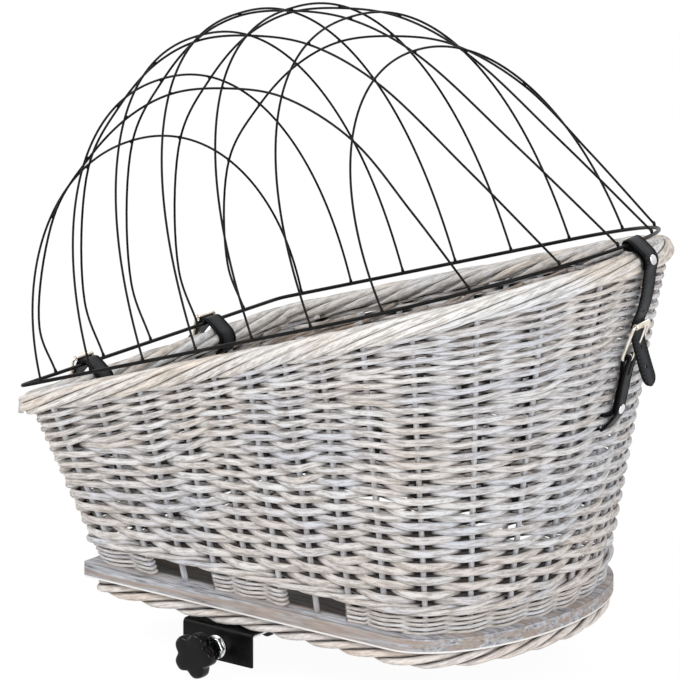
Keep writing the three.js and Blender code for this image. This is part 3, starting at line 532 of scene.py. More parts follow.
def willow(name, pale, warm, cool, fibres, patch_scale, warmth, contrast, bump):
    """Washed willow: cool and warm patches, a tone for each rod, fibre lines, brown flecks, and painted shade where a
    rod lies hidden in the weave.
    """
    finish = Finish(name, Specular_IOR_Level=0.28)
    out = finish.effect(ROD_FIBRE, Fibres=fibres, Patch_Scale=patch_scale)
    leaning = finish.math("ADD", finish.ranged(out["Patch"], 0.38, 0.64), out["Warmth"])
    colour = finish.tinted(cool, warm, leaning, 0.55, 1.45, 0.0, warmth)
    colour = finish.tinted(colour, pale, out["Tone"], 0.35, 1.0, 0.0, 0.75)
    dark = tuple(value * 0.42 for value in warm)
    colour = finish.tinted(colour, dark, out["Fibre"], 0.39, 0.55, contrast, 0.0)
    colour = finish.tinted(colour, FLECK_BROWN, out["Fleck"], 0.66, 0.78, 0.0, 0.45)
    # Painted shade: rod faces hidden behind stakes or turned into the wall go almost black.
    colour = finish.tinted(colour, PAINTED_SHADE_DARK, out["Shelter"], 0.0, 1.0, 0.0, 0.98)
    rough = finish.ranged(out["Fibre"], 0.3, 0.7, 0.82, 0.6)
    return finish.done(colour, rough, finish.bump(out["Fibre"], bump, 0.6 * MM))


WILLOW_WEAVE = willow("washed_willow", (0.8, 0.79, 0.78), (0.72, 0.62, 0.53), (0.64, 0.65, 0.69),
                      1.5, 9.0, 0.58, 0.76, 0.8)
WILLOW_BORDER = willow("pale_willow", (0.86, 0.832, 0.798), (0.8, 0.71, 0.62), (0.78, 0.78, 0.79),
                       1.7, 8.0, 0.9, 0.66, 0.55)
WILLOW_BRAID = willow("braid_willow", (0.88, 0.83, 0.79), (0.82, 0.68, 0.58), (0.78, 0.75, 0.73),
                      1.7, 12.0, 0.85, 0.55, 0.45)
# A darker copy of the willow, as painted shade for the rod ends inside under the rim.
WILLOW_SHADED_INSIDE = willow("inside_willow", (0.6, 0.54, 0.49), (0.46, 0.36, 0.29), (0.42, 0.39, 0.38),
                       1.5, 14.0, 0.9, 0.6, 0.5)
WILLOW_STAKE = willow("stake_willow", (0.64, 0.645, 0.67), (0.56, 0.5, 0.46), (0.54, 0.55, 0.59),
                      1.4, 10.0, 0.5, 0.45, 0.4)


def board_finish(name, whole):
    """Grey-washed wood with its grain along X, brown where the wash is thin."""
    finish = Finish(name, Specular_IOR_Level=0.3)
    x, y, height = finish.add("ShaderNodeSeparateXYZ", {0: finish.place()}).outputs
    low, high = BOARD_LOW.z, BOARD_HIGH.z
    wood = finish.effect(WOOD_GRAIN, Wash_Scale=16.0)
    grain = wood["Grain"]
    colour = finish.ramp(grain, [(0.3, (0.07, 0.065, 0.068)), (0.44, (0.31, 0.31, 0.33)), (0.6, (0.52, 0.53, 0.565))])
    inside = finish.math("MULTIPLY", finish.ranged(height, low + 2.5 * MM, low + 5 * MM),
                         finish.ranged(height, high - 1.5 * MM, high - 4.5 * MM))
    bare = finish.math("MULTIPLY_ADD", inside, 0.09, wood["Streaks"])
    colour = finish.tinted(colour, (0.36, 0.27, 0.21), bare, 0.47, 0.63, 0.0, 0.72)
    colour = finish.tinted(colour, (0.45, 0.46, 0.49), wood["Thin"], 0.52, 0.72, 0.0, 0.35)
    if whole:
        colour = floor_and_worn_edges(finish, colour, x, y, height)
    rough = finish.ranged(grain, 0.3, 0.7, 0.8, 0.55)
    return finish.done(colour, rough, finish.bump(grain, 0.35, 0.5 * MM))


def floor_and_worn_edges(finish, colour, x, y, height):
    """Paints shade on the board's top inside the wall, and lines its edges: dark at the top, pale at the bottom."""
    low, high = BOARD_LOW.z, BOARD_HIGH.z
    past = finish.math("MAXIMUM", finish.math("SUBTRACT", x, LOW_END + 350 * MM), 0.0)
    along, across = finish.math("DIVIDE", past, 64 * MM), finish.math("DIVIDE", y, 119 * MM)
    flat = finish.add("ShaderNodeCombineXYZ", {0: along, 1: across}).outputs[0]
    from_middle = finish.add("ShaderNodeVectorMath", {0: flat}, operation="LENGTH").outputs["Value"]
    # Painted shade: the board's top inside the wall is multiplied dark, where the wall and wale shade it.
    within = finish.math("MULTIPLY", finish.ranged(from_middle, 1.02, 0.97),
                         finish.ranged(x, LOW_END + 49 * MM, LOW_END + 54 * MM))
    floor = finish.math("MULTIPLY", within, finish.ranged(height, high - MM, high - 0.3 * MM))
    colour = finish.mixed(floor, colour, finish.mixed(1.0, colour, (0.14, 0.12, 0.11), "MULTIPLY"))
    from_edge = finish.math("ABSOLUTE", finish.math("SUBTRACT", height, high - 0.8 * MM))
    colour = finish.tinted(colour, (0.09, 0.085, 0.085), from_edge, 0.7 * MM, 0.2 * MM, 0.0, 0.6)
    # A pale line along the bottom bevel.
    worn = finish.math("MULTIPLY", finish.ranged(height, low + 2.3 * MM, low + 1.5 * MM, 0.0, 0.95),
                       finish.ranged(height, low + 0.1 * MM, low + 0.5 * MM))
    return finish.mixed(worn, colour, (0.93, 0.9, 0.87))


def wire_finish():
    """Black coated wire with dull rubbed places."""
    finish = Finish("black_coated_wire", Specular_IOR_Level=0.12)
    rubbed = finish.noise(finish.place(), 45.0, 3.0)
    colour = finish.tinted((0.003, 0.003, 0.003), (0.012, 0.01, 0.009), rubbed, 0.5, 0.72)
    return finish.done(colour, finish.ranged(rubbed, 0.35, 0.7, 0.28, 0.45))


def leather_finish():
    """Black leather: pebbled grain, greyer where it is rubbed, with a painted sheen along its middle and painted
    shade along its creased edges.
    """
    finish = Finish("black_strap_leather", Specular_IOR_Level=0.08)
    place = finish.place()
    pebbles = finish.add("ShaderNodeTexVoronoi", {"Vector": place, "Scale": 1150.0}, feature="DISTANCE_TO_EDGE")
    creases = finish.noise(place, 130.0, 5.0, Roughness=0.65)
    colour = finish.ramp(creases, [(0.3, (0.005, 0.0053, 0.0062)), (0.6, (0.01, 0.0105, 0.012))])
    colour = finish.tinted(colour, (0.026, 0.027, 0.031), finish.noise(place, 38.0, 3.0), 0.5, 0.75, 0.0, 0.5)
    strap_face = finish.add("ShaderNodeUVMap", uv_map="strap_face").outputs[0]
    across = finish.math("ABSOLUTE", finish.add("ShaderNodeSeparateXYZ", {0: strap_face}).outputs[1])
    # Painted sheen: greyer along the strap's middle.
    colour = finish.tinted(colour, (0.034, 0.0365, 0.041), across, 0.2, 0.64, 0.85, 0.0)
    # Painted shade: black along the creased edges.
    colour = finish.tinted(colour, (0.0015, 0.0015, 0.0016), across, 0.64, 0.71)
    depth = finish.math("ADD", finish.ranged(pebbles.outputs[0], 0.0, 0.22), creases)
    rough = finish.ranged(creases, 0.3, 0.7, 0.3, 0.52)
    return finish.done(colour, rough, finish.bump(depth, 0.35, 0.25 * MM))


def metal_finish(name, bright, dull, smooth, worn, scratch_scale):
    """Bare or plated metal with fine handling scratches and duller patches."""
    finish = Finish(name, Metallic=1.0)
    wear = finish.effect(METAL_WEAR, Scratch_Scale=scratch_scale)
    colour = finish.tinted(bright, dull, wear["Patches"], 0.42, 0.68)
    rough = finish.ranged(wear["Patches"], 0.35, 0.7, smooth, worn)
    return finish.done(colour, rough, finish.bump(wear["Scratches"], 0.03, 0.1 * MM))


def moulded_finish(name, dark, pale, smooth, rough_most, speck, shine):
    """Moulded plastic, rubber or paint with a faint grain and dusty places."""
    finish = Finish(name, Specular_IOR_Level=shine)
    moulded = finish.effect(MOULDED_DUST, Speck_Scale=speck)
    colour = finish.tinted(dark, pale, moulded["Dust"], 0.48, 0.75, 0.0, 0.7)
    rough = finish.ranged(moulded["Dust"], 0.35, 0.7, smooth, rough_most)
    return finish.done(colour, rough, finish.bump(moulded["Speck"], 0.08, 0.15 * MM))


BOARD_WASH = board_finish("washed_board", True)
BATTEN_WASH = board_finish("washed_batten", False)
BLACK_WIRE = wire_finish()
BLACK_LEATHER = leather_finish()
NICKEL = metal_finish("champagne_nickel", (0.93, 0.88, 0.8), (0.74, 0.66, 0.55), 0.14, 0.26, 900.0)
CHROME = metal_finish("rivet_chrome_plate", (0.82, 0.82, 0.84), (0.6, 0.6, 0.62), 0.1, 0.22, 700.0)
STEEL = moulded_finish("bracket_black_paint", (0.003, 0.003, 0.0032), (0.012, 0.0115, 0.011),
                       0.26, 0.42, 900.0, 0.12)
ZINC = metal_finish("bright_zinc", (0.85, 0.86, 0.87), (0.6, 0.6, 0.59), 0.2, 0.36, 800.0)
STRAP_THREAD = moulded_finish("waxed_black_thread", (0.03, 0.03, 0.033), (0.075, 0.075, 0.08),
                              0.4, 0.6, 1500.0, 0.3)
KNOB_PLASTIC = moulded_finish("black_knob_plastic", (0.003, 0.003, 0.0034), (0.012, 0.012, 0.012),
                              0.06, 0.16, 700.0, 0.18)
PAD_RUBBER = moulded_finish("pad_rubber_black", (0.012, 0.012, 0.012), (0.04, 0.038, 0.036),
                            0.6, 0.85, 1200.0, 0.3)

wall = Wall()


# Woven wall

def row_plan(rng):
    """First and last stake of each row, from the bottom up. Pairs of short rows fill the higher end."""
    numbers = np.linspace(0, STAKES / 2, 200)
    middle = wall.at(numbers, (wall.top(numbers) + WEAVE_BOTTOM) / 2)[:, 0] - LOW_END
    starts = list(np.interp(np.linspace(SHORT_ROWS_FROM, SHORT_ROWS_TO, SHORT_PAIRS), middle, numbers))
    rng.shuffle(starts)
    rows = [None] * (FULL_ROWS - SHORT_PAIRS)
    for start in starts:
        rows += [start, start, None]
    return [tucked_ends(row, start, rng) for row, start in enumerate(rows)]


def tucked_ends(row, start, rng):
    """Stakes behind which a row begins and ends: both are passed on the inside."""
    if start is None:
        begin, end = SEAM_STAKE, SEAM_STAKE + STAKES
    else:
        begin = round(start + rng.uniform(-0.6, 0.6))
        end = max(round(STAKES - start + rng.uniform(-0.6, 0.6)), begin + 3)
    begin -= 1 - (begin + row) % 2
    end += 1 - (end + row) % 2
    return begin, end, start is None


class Rows:
    """Height and thickness of each row at any place round the basket."""

    def __init__(self, plan):
        self.numbers = np.linspace(SEAM_STAKE - 3, SEAM_STAKE + STAKES + 3, 1600)
        within = np.mod(self.numbers - SEAM_STAKE, STAKES) + SEAM_STAKE
        share = np.array([
            np.ones(len(within)) if whole else eased(within - begin + 0.15) * eased(end + 0.15 - within)
            for begin, end, whole in plan])
        total = share.sum(axis=0)
        middle = (np.cumsum(share, axis=0) - share / 2) / total
        room = wall.top(self.numbers) + ROWS_PAST_TOP - WEAVE_BOTTOM
        self.height = WEAVE_BOTTOM + room * ((1 + ROWS_CROWDING) * middle - ROWS_CROWDING * middle ** 2)
        self.pitch = room * (1 + ROWS_CROWDING - 2 * ROWS_CROWDING * middle) * share / total

    def at(self, row, number):
        return np.interp(number, self.numbers, self.height[row]), np.interp(number, self.numbers, self.pitch[row])


def rod_lengths(begin, end, rng):
    """Splits a row into rods that meet behind stakes passed on the inside."""
    ends = []
    while begin < end:
        step = rng.randrange(8, 17)
        step += step % 2
        stop = end if begin + step > end - 5 else begin + step
        ends.append((begin, stop))
        begin = stop
    return ends


def weave_rod(strands, rows, row, begin, end, rng):
    """One rod: in front of one stake, behind the next, and both ends sticking out on the inside."""
    tucks = np.array((ROD_TUCK / 2, ROD_TUCK))
    woven = np.linspace(begin, end, int((end - begin) * ROD_STEPS) + 1)
    number = np.concatenate((begin - tucks[::-1], woven, end + tucks))
    height, pitch = rows.at(row, number)
    pitch = np.maximum(pitch, 1.6 * MM)
    stakes = np.arange(begin - 1, end + 2)
    uneven = np.interp(number, stakes, [rng.uniform(0.86, 1.12) for _ in stakes])
    drift = np.interp(number, stakes, [rng.gauss(0, 0.22) for _ in stakes]) * MM
    girth = np.linspace(rng.uniform(1.0, 1.1), rng.uniform(0.92, 1.0), len(number))
    wave = np.cos(math.pi * (number + row))
    past = np.maximum(begin - number, number - end)
    stick = np.clip(past / ROD_TUCK, 0, 1) ** 1.4 * rng.uniform(3, 9) * MM
    depth = WEAVE_DEPTH * uneven * wave - stick
    out, up = wall.facing(number, height)
    path = wall.at(number, height + drift) + out * depth[:, None]
    swell = 1.1 + 0.12 * np.clip(wave, 0, 1)
    half_height = 0.5 * pitch * swell * girth
    half_depth = np.clip(0.42 * pitch * girth, 1.0 * MM, 2.3 * MM)
    taper = np.ones(len(number))
    taper[[0, -1]] = 0.8
    # The rod carries painted shade on its faces hidden in the weave.
    strands.add(path, up, half_height * taper, half_depth * taper, (rng.random(), rng.random()),
                shelter=lambda angle: hidden_side(wave, angle))


def hidden_side(wave, angle, heading=1.0):
    """How much painted shade a rod's surface gets where it lies behind the stakes or faces into the wall."""
    outer_face = np.outer(np.broadcast_to(heading, wave.shape), np.cos(angle))
    behind = eased((-wave - 0.5) / 0.3)[:, None] * eased((outer_face + 0.4) / 0.5)
    inner = eased((-0.15 - np.maximum(wave, 0)[:, None] * outer_face) / 0.5)
    return np.maximum(behind, inner)


def make_weave():
    rng = random.Random(SEED)
    plan = row_plan(rng)
    rows = Rows(plan)
    halves = {"woven_wall_low": Strands(8), "woven_wall_high": Strands(8)}
    for row, (first, last, _) in enumerate(plan):
        strands = halves["woven_wall_low" if row < LOW_HALF_ROWS else "woven_wall_high"]
        for begin, end in rod_lengths(first, last, rng):
            weave_rod(strands, rows, row, begin, end, rng)
    for name, strands in halves.items():
        settle(strands.build(name), WILLOW_WEAVE, "willow_weave", "basket", "basket_wall")


def make_stakes():
    rng = random.Random(SEED + 1)
    strands = Strands(8)
    for stake in range(STAKES):
        number = stake + rng.uniform(-0.03, 0.03)
        height = np.linspace(BOARD_TOP - 1 * MM, float(wall.top(number)) + 6 * MM, STAKE_STEPS)
        wobble = np.interp(height, height[::4], [rng.gauss(0, 0.35) for _ in height[::4]]) * MM
        numbers = np.full(STAKE_STEPS, number)
        out, _ = wall.facing(numbers, height)
        path = wall.at(numbers, height) + out * wobble[:, None]
        ahead = np.cross((0, 0, 1), out)
        girth = STAKE_GIRTH * rng.uniform(0.92, 1.08)
        strands.add(path, ahead, girth, girth, (rng.random(), rng.random()))
    nodes = [f"slot_stake_{side}_{end}" for side in ("near", "far") for end in ("low", "high")]
    settle(strands.build("wall_stakes"), WILLOW_STAKE, "willow_weave", "basket", *nodes)


def make_wale():
    """Three thick rods on the band: each passes two stakes in front and one behind, rising as it goes."""
    rng = random.Random(SEED + 2)
    strands = Strands(10)
    for turn in range(3):
        number = np.linspace(0, STAKES, STAKES * 10, endpoint=False)
        phase = np.mod(number + turn, 3)
        depth = np.interp(phase, [0, 0.5, 1, 1.5, 2, 2.5, 3], [-1, 0.1, 0.95, 1.12, 0.95, 0.1, -1])
        lift = np.interp(phase, [0, 0.6, 1.5, 2.4, 3], [0, -0.85, 0, 0.85, 0])
        height = WALE_MIDDLE + WALE_RISE * lift
        out, up = wall.facing(number, height)
        path = wall.at(number, height) + out * (WALE_DEPTH * depth)[:, None]
        for _ in range(2):
            path = (np.roll(path, 1, axis=0) + 2 * path + np.roll(path, -1, axis=0)) / 4
        thick = WALE_GIRTH * (1 + 0.12 * np.sin(number * rng.uniform(0.3, 0.6) + turn))
        # Painted shade on the faces hidden behind the stakes.
        strands.add(path, up, thick, thick * 0.9, (rng.random(), rng.random()), closed=True,
                    shelter=lambda angle: hidden_side(depth, angle))
    settle(strands.build("bottom_wale"), WILLOW_WEAVE, "willow_weave", "basket")


def make_band(name, first, last, rng):
    """Rows of two fine rods that cross between the stakes. Each pair is one rod, folded round the first stake."""
    strands = Strands(8)
    out_and_back = np.linspace(0, math.pi, 7)[1:-1]
    half_turn = np.linspace(0, 2.2, 6)[1:]
    line = np.linspace(first, last, (last - first) * 10 + 1)
    wave = np.cos(math.pi * (line - first))
    tail = np.cos(half_turn)
    for row in range(BAND_ROWS):
        number = np.concatenate((line[-1] + BAND_FOLD * np.sin(half_turn[::-1]), line[::-1],
                                 first - BAND_FOLD * np.sin(out_and_back), line))
        depth = np.concatenate((wave[-1] * tail[::-1], wave[::-1], np.cos(out_and_back), -wave))
        slant = 0.2 * np.sin(math.pi * (number - first)) * np.where(np.arange(len(number)) < len(line), 1, -1)
        height = BAND_BOTTOM + (row + slant) * BAND_PITCH
        uneven = 1 + 0.08 * np.sin(number * 2.3 + row * 1.7)
        out, up = wall.facing(number, height)
        path = wall.at(number, height) + out * (BAND_DEPTH * depth * uneven)[:, None]
        thick = 1.4 * MM * (1 + 0.12 * np.abs(depth))
        # Which way the outer face lies on each pass, for the painted shade on the faces hidden behind the stakes.
        heading = np.where(np.arange(len(number)) < len(tail) + len(line), -1, 1)
        strands.add(path, up, thick, 1.45 * MM, (rng.random(), rng.random()),
                    shelter=lambda angle: hidden_side(depth, angle, heading))
    settle(strands.build(name + "_rods"), WILLOW_WEAVE, "willow_weave", "basket", name)


def make_inner_ends():
    """Ends of the border's rods, tucked away inside under the rim, in a darker willow that paints the shade there."""
    rng = random.Random(SEED + 5)
    strands = Strands(8)
    steps = INNER_END_STEPS
    for stake in np.arange(0, STAKES, INNER_END_APART):
        number = stake + np.linspace(0, rng.uniform(0.9, 2.4), steps)
        slant = np.linspace(rng.uniform(-2, 12), rng.uniform(6, 30), steps) * MM
        height = wall.top(number) - slant
        inwards = WEAVE_DEPTH + np.linspace(rng.uniform(0.5, 3.5), rng.uniform(-0.5, 3), steps) * MM
        out, up = wall.facing(number, height)
        path = wall.at(number, height) - out * inwards[:, None]
        thick = np.linspace(rng.uniform(1.3, 2.0), rng.uniform(0.9, 1.5), steps) * MM
        strands.add(path, up, thick, thick, (rng.random(), rng.random()))
    settle(strands.build("inner_border_ends"), WILLOW_SHADED_INSIDE, "willow_weave", "basket")


def make_cut_end():
    """One cut rod end left at the low near corner."""
    stub = Strands(10)
    corner = np.full(6, np.interp(RING_HALF_WIDTH - 5 * MM, wall.head.distances, wall.head.numbers))
    height = wall.top(corner) + np.linspace(15, 7, len(corner)) * MM
    out, _ = wall.facing(corner, height)
    path = wall.at(corner, height) + out * (np.linspace(7, 12, len(corner)) * MM)[:, None]
    stub.add(path, np.cross(out, (0, 0, 1)), 2.7 * MM, 2.4 * MM)
    settle(stub.build("cut_rod_end"), WILLOW_STAKE, "willow_border", "basket")


# Rolled borders

def rolled_border(name, line, radius, girth, lay, starts, core, node, finish, painted_shade_reach):
    """Strands laid round a core one after another, each rising on the outer face and going in over the top, with
    painted shade on the faces turned to the core.
    """
    rng = random.Random(SEED + len(name))
    strands = Strands(12)
    steps = BORDER_STEPS
    for stake in range(STAKES):
        turn = np.radians(np.linspace(*BORDER_TURN, steps))
        number = stake + starts + (turn - turn[0]) / (2 * math.pi) * lay
        centre, out, up = line(number)
        snug = radius * (1 + 0.05 * np.sin(turn * 2 + rng.uniform(0, 6)) + rng.uniform(-0.03, 0.03))
        path = centre + out * (snug * np.cos(turn))[:, None] + up * (snug * np.sin(turn))[:, None]
        away = out * np.cos(turn)[:, None] + up * np.sin(turn)[:, None]
        ends = np.clip(np.minimum(np.arange(steps), np.arange(steps)[::-1]) / 13, 0.42, 1)
        thick = girth * ends * rng.uniform(0.92, 1.06)
        # Painted shade on each strand's face turned to the core, reaching further round it on the braid.
        strands.add(path, away, thick * 0.94, thick * 1.04, (rng.random(), rng.random()),
                    shelter=lambda angle: np.tile(eased((painted_shade_reach - np.sin(angle)) / 0.6), (len(path), 1)))
    for lean in range(3):
        number = np.linspace(0, STAKES, STAKES * 8, endpoint=False)
        centre, out, up = line(number)
        turn = number * 0.35 + lean * 2.1
        path = centre + core * 0.55 * (out * np.cos(turn)[:, None] + up * np.sin(turn)[:, None])
        strands.add(path, up, core * 0.75, core * 0.75, (rng.random(), rng.random()), closed=True)
    settle(strands.build(name), finish, "willow_border", "basket", node)


def make_rim():
    outline = Outline(low=RIM_INSET, straight=RING_STRAIGHT, high=RING_END - RIM_INSET,
                      half_width=RING_HALF_WIDTH - RIM_INSET, corner=6.5 * MM)
    scale = outline.length / wall.head.outline.length

    def line(number):
        distance = wall.head.distance(number) * scale
        along, across = outline.at(distance)
        out = outline.outward(distance, 7 * MM)
        centre = on_ring_plane(along, across, -RIM_DROP)
        tilted = np.stack((out[:, 0] * math.cos(SLOPE), out[:, 1], out[:, 0] * math.sin(SLOPE)), axis=1)
        up = np.broadcast_to((-math.sin(SLOPE), 0, math.cos(SLOPE)), centre.shape)
        return centre, tilted, up

    rolled_border("rolled_rim", line, RIM_CORE, RIM_STRAND, RIM_LAY, -0.4, 4.6 * MM, "rim_border",
                  WILLOW_BORDER, 0.08)


def make_braid():
    outline = Outline(low=LOW_END + 47.5 * MM, straight=LOW_END + 355.5 * MM, high=LOW_END + 418 * MM,
                      half_width=122.5 * MM, corner=6 * MM)
    scale = outline.length / wall.foot.outline.length

    def line(number):
        distance = wall.foot.distance(number) * scale
        x, y = outline.at(distance)
        out = outline.outward(distance, 6 * MM)
        centre = np.stack((x, y, np.full(len(x), BRAID_HEIGHT)), axis=1)
        level = np.column_stack((out, np.zeros(len(x))))
        return centre, level, np.broadcast_to((0.0, 0.0, 1.0), centre.shape)

    rolled_border("rolled_foot", line, BRAID_CORE, BRAID_STRAND, BRAID_LAY, -0.6, 2.6 * MM, "foot_braid",
                  WILLOW_BRAID, 0.3)


# Board

def flat_piece(name, outline, height=0.0):
    """A flat face with the given outline."""
    bpy.ops.object.select_all(action="DESELECT")
    bpy.ops.mesh.primitive_circle_add(vertices=len(outline), radius=1, fill_type="NGON")
    piece = bpy.context.object
    piece.name = piece.data.name = name
    for vertex, (x, y) in zip(piece.data.vertices, outline):
        vertex.co = (x, y, height)
    return piece


def make_board():
    outline = Outline(low=LOW_END + 36.5 * MM, straight=LOW_END + 355.5 * MM, high=LOW_END + 429 * MM,
                      half_width=133.5 * MM, corner=3 * MM)
    edge = np.column_stack((outline.x, outline.y))
    corners = np.sort(np.unique(edge.round(7), axis=0, return_index=True)[1])
    board = flat_piece("grey_base_board", edge[corners], BOARD_LOW.z)
    bpy.ops.object.mode_set(mode="EDIT")
    bpy.ops.mesh.select_all(action="SELECT")
    bpy.ops.mesh.extrude_region_move(TRANSFORM_OT_translate={"value": (0, 0, BOARD_HIGH.z - BOARD_LOW.z)})
    bpy.ops.mesh.select_all(action="SELECT")
    bpy.ops.mesh.normals_make_consistent(inside=False)
    bpy.ops.object.mode_set(mode="OBJECT")
    round_edges(board, 1.1 * MM, 2)
    settle(board, BOARD_WASH, "grey_board", "basket", "base_board")


def round_edges(piece, width, segments, angle=40):
    """Bevels a piece's sharp edges and smooths what is left."""
    only(piece)
    bevel = piece.modifiers.new("rounded", "BEVEL")
    bevel.width = width
    bevel.segments = segments
    bevel.limit_method = "ANGLE"
    bevel.angle_limit = math.radians(angle)
    bpy.ops.object.modifier_apply(modifier=bevel.name)
    bpy.ops.object.shade_smooth_by_angle(angle=math.radians(30))


# Wire lattice

CROSS_ARCHES = (
    (24, 164, 3, 2.1), (77, 208, 0.5, 2.2), (132, 236, -1.5, 2.25), (187, 247, -3, 2.3),
    (245, 242, -4.5, 2.3), (305, 225, -6, 2.25), (368, 189, -10, 2.1))
LONG_ARCHES = ((-122, -110), (-61, -59), (0, 0), (61, 59), (122, 110))
ARCH_FOOT = 2.2 * MM
SLANTED_FOOT = 3.16 * MM
FOOT_SUNK = 3.4 * MM
WELD_REACH = 5 * MM


def half_width_at(along):
    past = max(along - RING_STRAIGHT, 0) / (RING_END - RING_STRAIGHT)
    return RING_HALF_WIDTH * math.sqrt(max(1 - past * past, 0))


class CrossArch:
    """A wire across the basket: an arch on the ring that leans along it."""

    def __init__(self, along, height, lean, fullness):
        self.along = along * MM / math.cos(SLOPE)
        self.half_width = half_width_at(self.along)
        self.height = height * MM
        self.lean = math.radians(lean)
        self.fullness = fullness

    def at(self, angle):
        power = 2 / self.fullness
        across = np.sign(np.cos(angle)) * np.abs(np.cos(angle)) ** power
        risen = self.height * np.maximum(np.sin(angle), 0) ** power
        along = self.along + risen * math.sin(self.lean)
        above = ARCH_FOOT + risen * math.cos(self.lean)
        return np.stack(np.broadcast_arrays(along, -self.half_width * across, above), axis=-1)

    def angle_at(self, offset):
        share = abs(offset) / self.half_width
        angle = math.acos(share ** (self.fullness / 2))
        return angle if offset < 0 else math.pi - angle


def through(points, steps, closed=False):
    """Smooth path through points, with knots spaced by the root of their distance."""
    points = np.asarray(points, float)
    if closed:
        points = np.concatenate((points[-1:], points, points[:2]))
    else:
        points = np.concatenate((2 * points[:1] - points[1:2], points, 2 * points[-1:] - points[-2:-1]))
    path = []
    for p0, p1, p2, p3 in zip(points, points[1:], points[2:], points[3:]):
        t1 = math.sqrt(np.linalg.norm(p1 - p0))
        t2 = t1 + math.sqrt(np.linalg.norm(p2 - p1))
        t3 = t2 + math.sqrt(np.linalg.norm(p3 - p2))
        for t in np.linspace(t1, t2, steps, endpoint=False):
            a1 = ((t1 - t) * p0 + t * p1) / t1
            a2 = ((t2 - t) * p1 + (t - t1) * p2) / (t2 - t1)
            a3 = ((t3 - t) * p2 + (t - t2) * p3) / (t3 - t2)
            b1 = ((t2 - t) * a1 + t * a2) / t2
            b2 = ((t3 - t) * a2 + (t - t1) * a3) / (t3 - t1)
            path.append(((t2 - t) * b1 + (t - t1) * b2) / (t2 - t1))
    if not closed:
        path.append(points[-2])
    return np.array(path)


def long_arch(foot, crown, arches, steps):
    """A wire along the basket that passes under each cross arch."""
    reach = RING_STRAIGHT + (RING_END - RING_STRAIGHT) * math.sqrt(1 - (foot / RING_HALF_WIDTH) ** 2)
    tallest = max(arch.height for arch in arches)
    angles = [arch.angle_at(foot + (crown - foot) * arch.height / tallest) for arch in arches]
    crossings = [arch.at(angle) for arch, angle in zip(arches, angles)]

    def knots(points):
        low_foot = np.array((0, foot, ARCH_FOOT))
        low_bulge = np.array((-5 * MM, foot, ARCH_FOOT + 0.3 * points[0][2]))
        high_foot = np.array((reach, foot, SLANTED_FOOT))
        chord = unit(high_foot - points[-1])
        high_bulge = (points[-1] + high_foot) / 2 + 2 * MM * np.array((-chord[2], 0, chord[0]))
        return [low_foot, low_bulge, *points, high_bulge, high_foot]

    draft = through(knots(crossings), 20)
    under = []
    for i, point in enumerate(crossings):
        along = draft[(i + 2) * 20 + 1] - draft[(i + 2) * 20 - 1]
        across = arches[i].at(angles[i] + 0.01) - arches[i].at(angles[i] - 0.01)
        inward = unit(np.cross(along, across))
        inward = -inward if inward[2] > 0 else inward
        under.append(point + inward * (ARCH_WIRE + 0.2 * MM))
    return through(knots(under), steps)


def lattice_wire(name, path, girth, node, closed=False):
    """A round wire along a path in the ring's plane, with its ends run into the ring."""
    strands = Strands(12)
    if not closed:
        path = np.concatenate((path[:1] - (0, 0, FOOT_SUNK), path, path[-1:] - (0, 0, FOOT_SUNK)))
    placed = on_ring_plane(path[:, 0], path[:, 1], path[:, 2])
    up = np.array((0, 1, 0)) if not closed else np.array((-math.sin(SLOPE), 0, math.cos(SLOPE)))
    if node.startswith("cross"):
        up = np.array((math.cos(SLOPE), 0, math.sin(SLOPE)))
    strands.add(placed, up, girth / 2, girth / 2, closed=closed)
    settle(strands.build(name), BLACK_WIRE, "lattice_wire", "lattice", node)
    return placed


def finer(path, steps=12):
    """A path with more points on its straight stretches."""
    spots = np.linspace(0, len(path) - 1, (len(path) - 1) * steps + 1)
    return np.stack([np.interp(spots, np.arange(len(path)), path[:, axis]) for axis in range(3)], axis=1)


def make_welds(crossing, lengthwise):
    """A small bead where two wires cross and where a wire stands on the ring."""
    beads = Strands(8)
    for first in map(finer, crossing):
        for second in map(finer, lengthwise):
            near = second[::6]
            row = np.argmin(np.linalg.norm(first[:, None] - near[None], axis=2).min(axis=1))
            spot = np.argmin(np.linalg.norm(second - first[row], axis=1))
            apart = first[row] - second[spot]
            gap = np.linalg.norm(apart)
            if gap > WELD_REACH:
                continue
            along = unit(second[min(spot + 3, len(second) - 1)] - second[max(spot - 3, 0)])
            middle = (first[row] + second[spot]) / 2
            path = middle + along * (np.array((-2.0, -1.3, 0, 1.3, 2.0)) * MM)[:, None]
            share = np.array((0.25, 0.8, 1, 0.8, 0.25))
            beads.add(path, apart / gap, share * (gap / 2 + 0.5 * MM), share * 1.15 * MM)
    up = np.array((-math.sin(SLOPE), 0, math.cos(SLOPE)))
    for wire in (*crossing, *lengthwise):
        for foot, ahead in ((wire[1], wire[3]), (wire[-2], wire[-4])):
            rise = np.array((-2.2, -1.0, 0.2, 1.2, 2.2)) * MM
            path = foot + up * rise[:, None]
            girth = np.array((0.8, 1.35, 1.4, 1.15, 0.9)) * MM
            beads.add(path, unit(np.cross(up, ahead - foot) + (0, 1e-6, 0)), girth, girth)
    settle(beads.build("weld_beads"), BLACK_WIRE, "lattice_wire", "lattice")


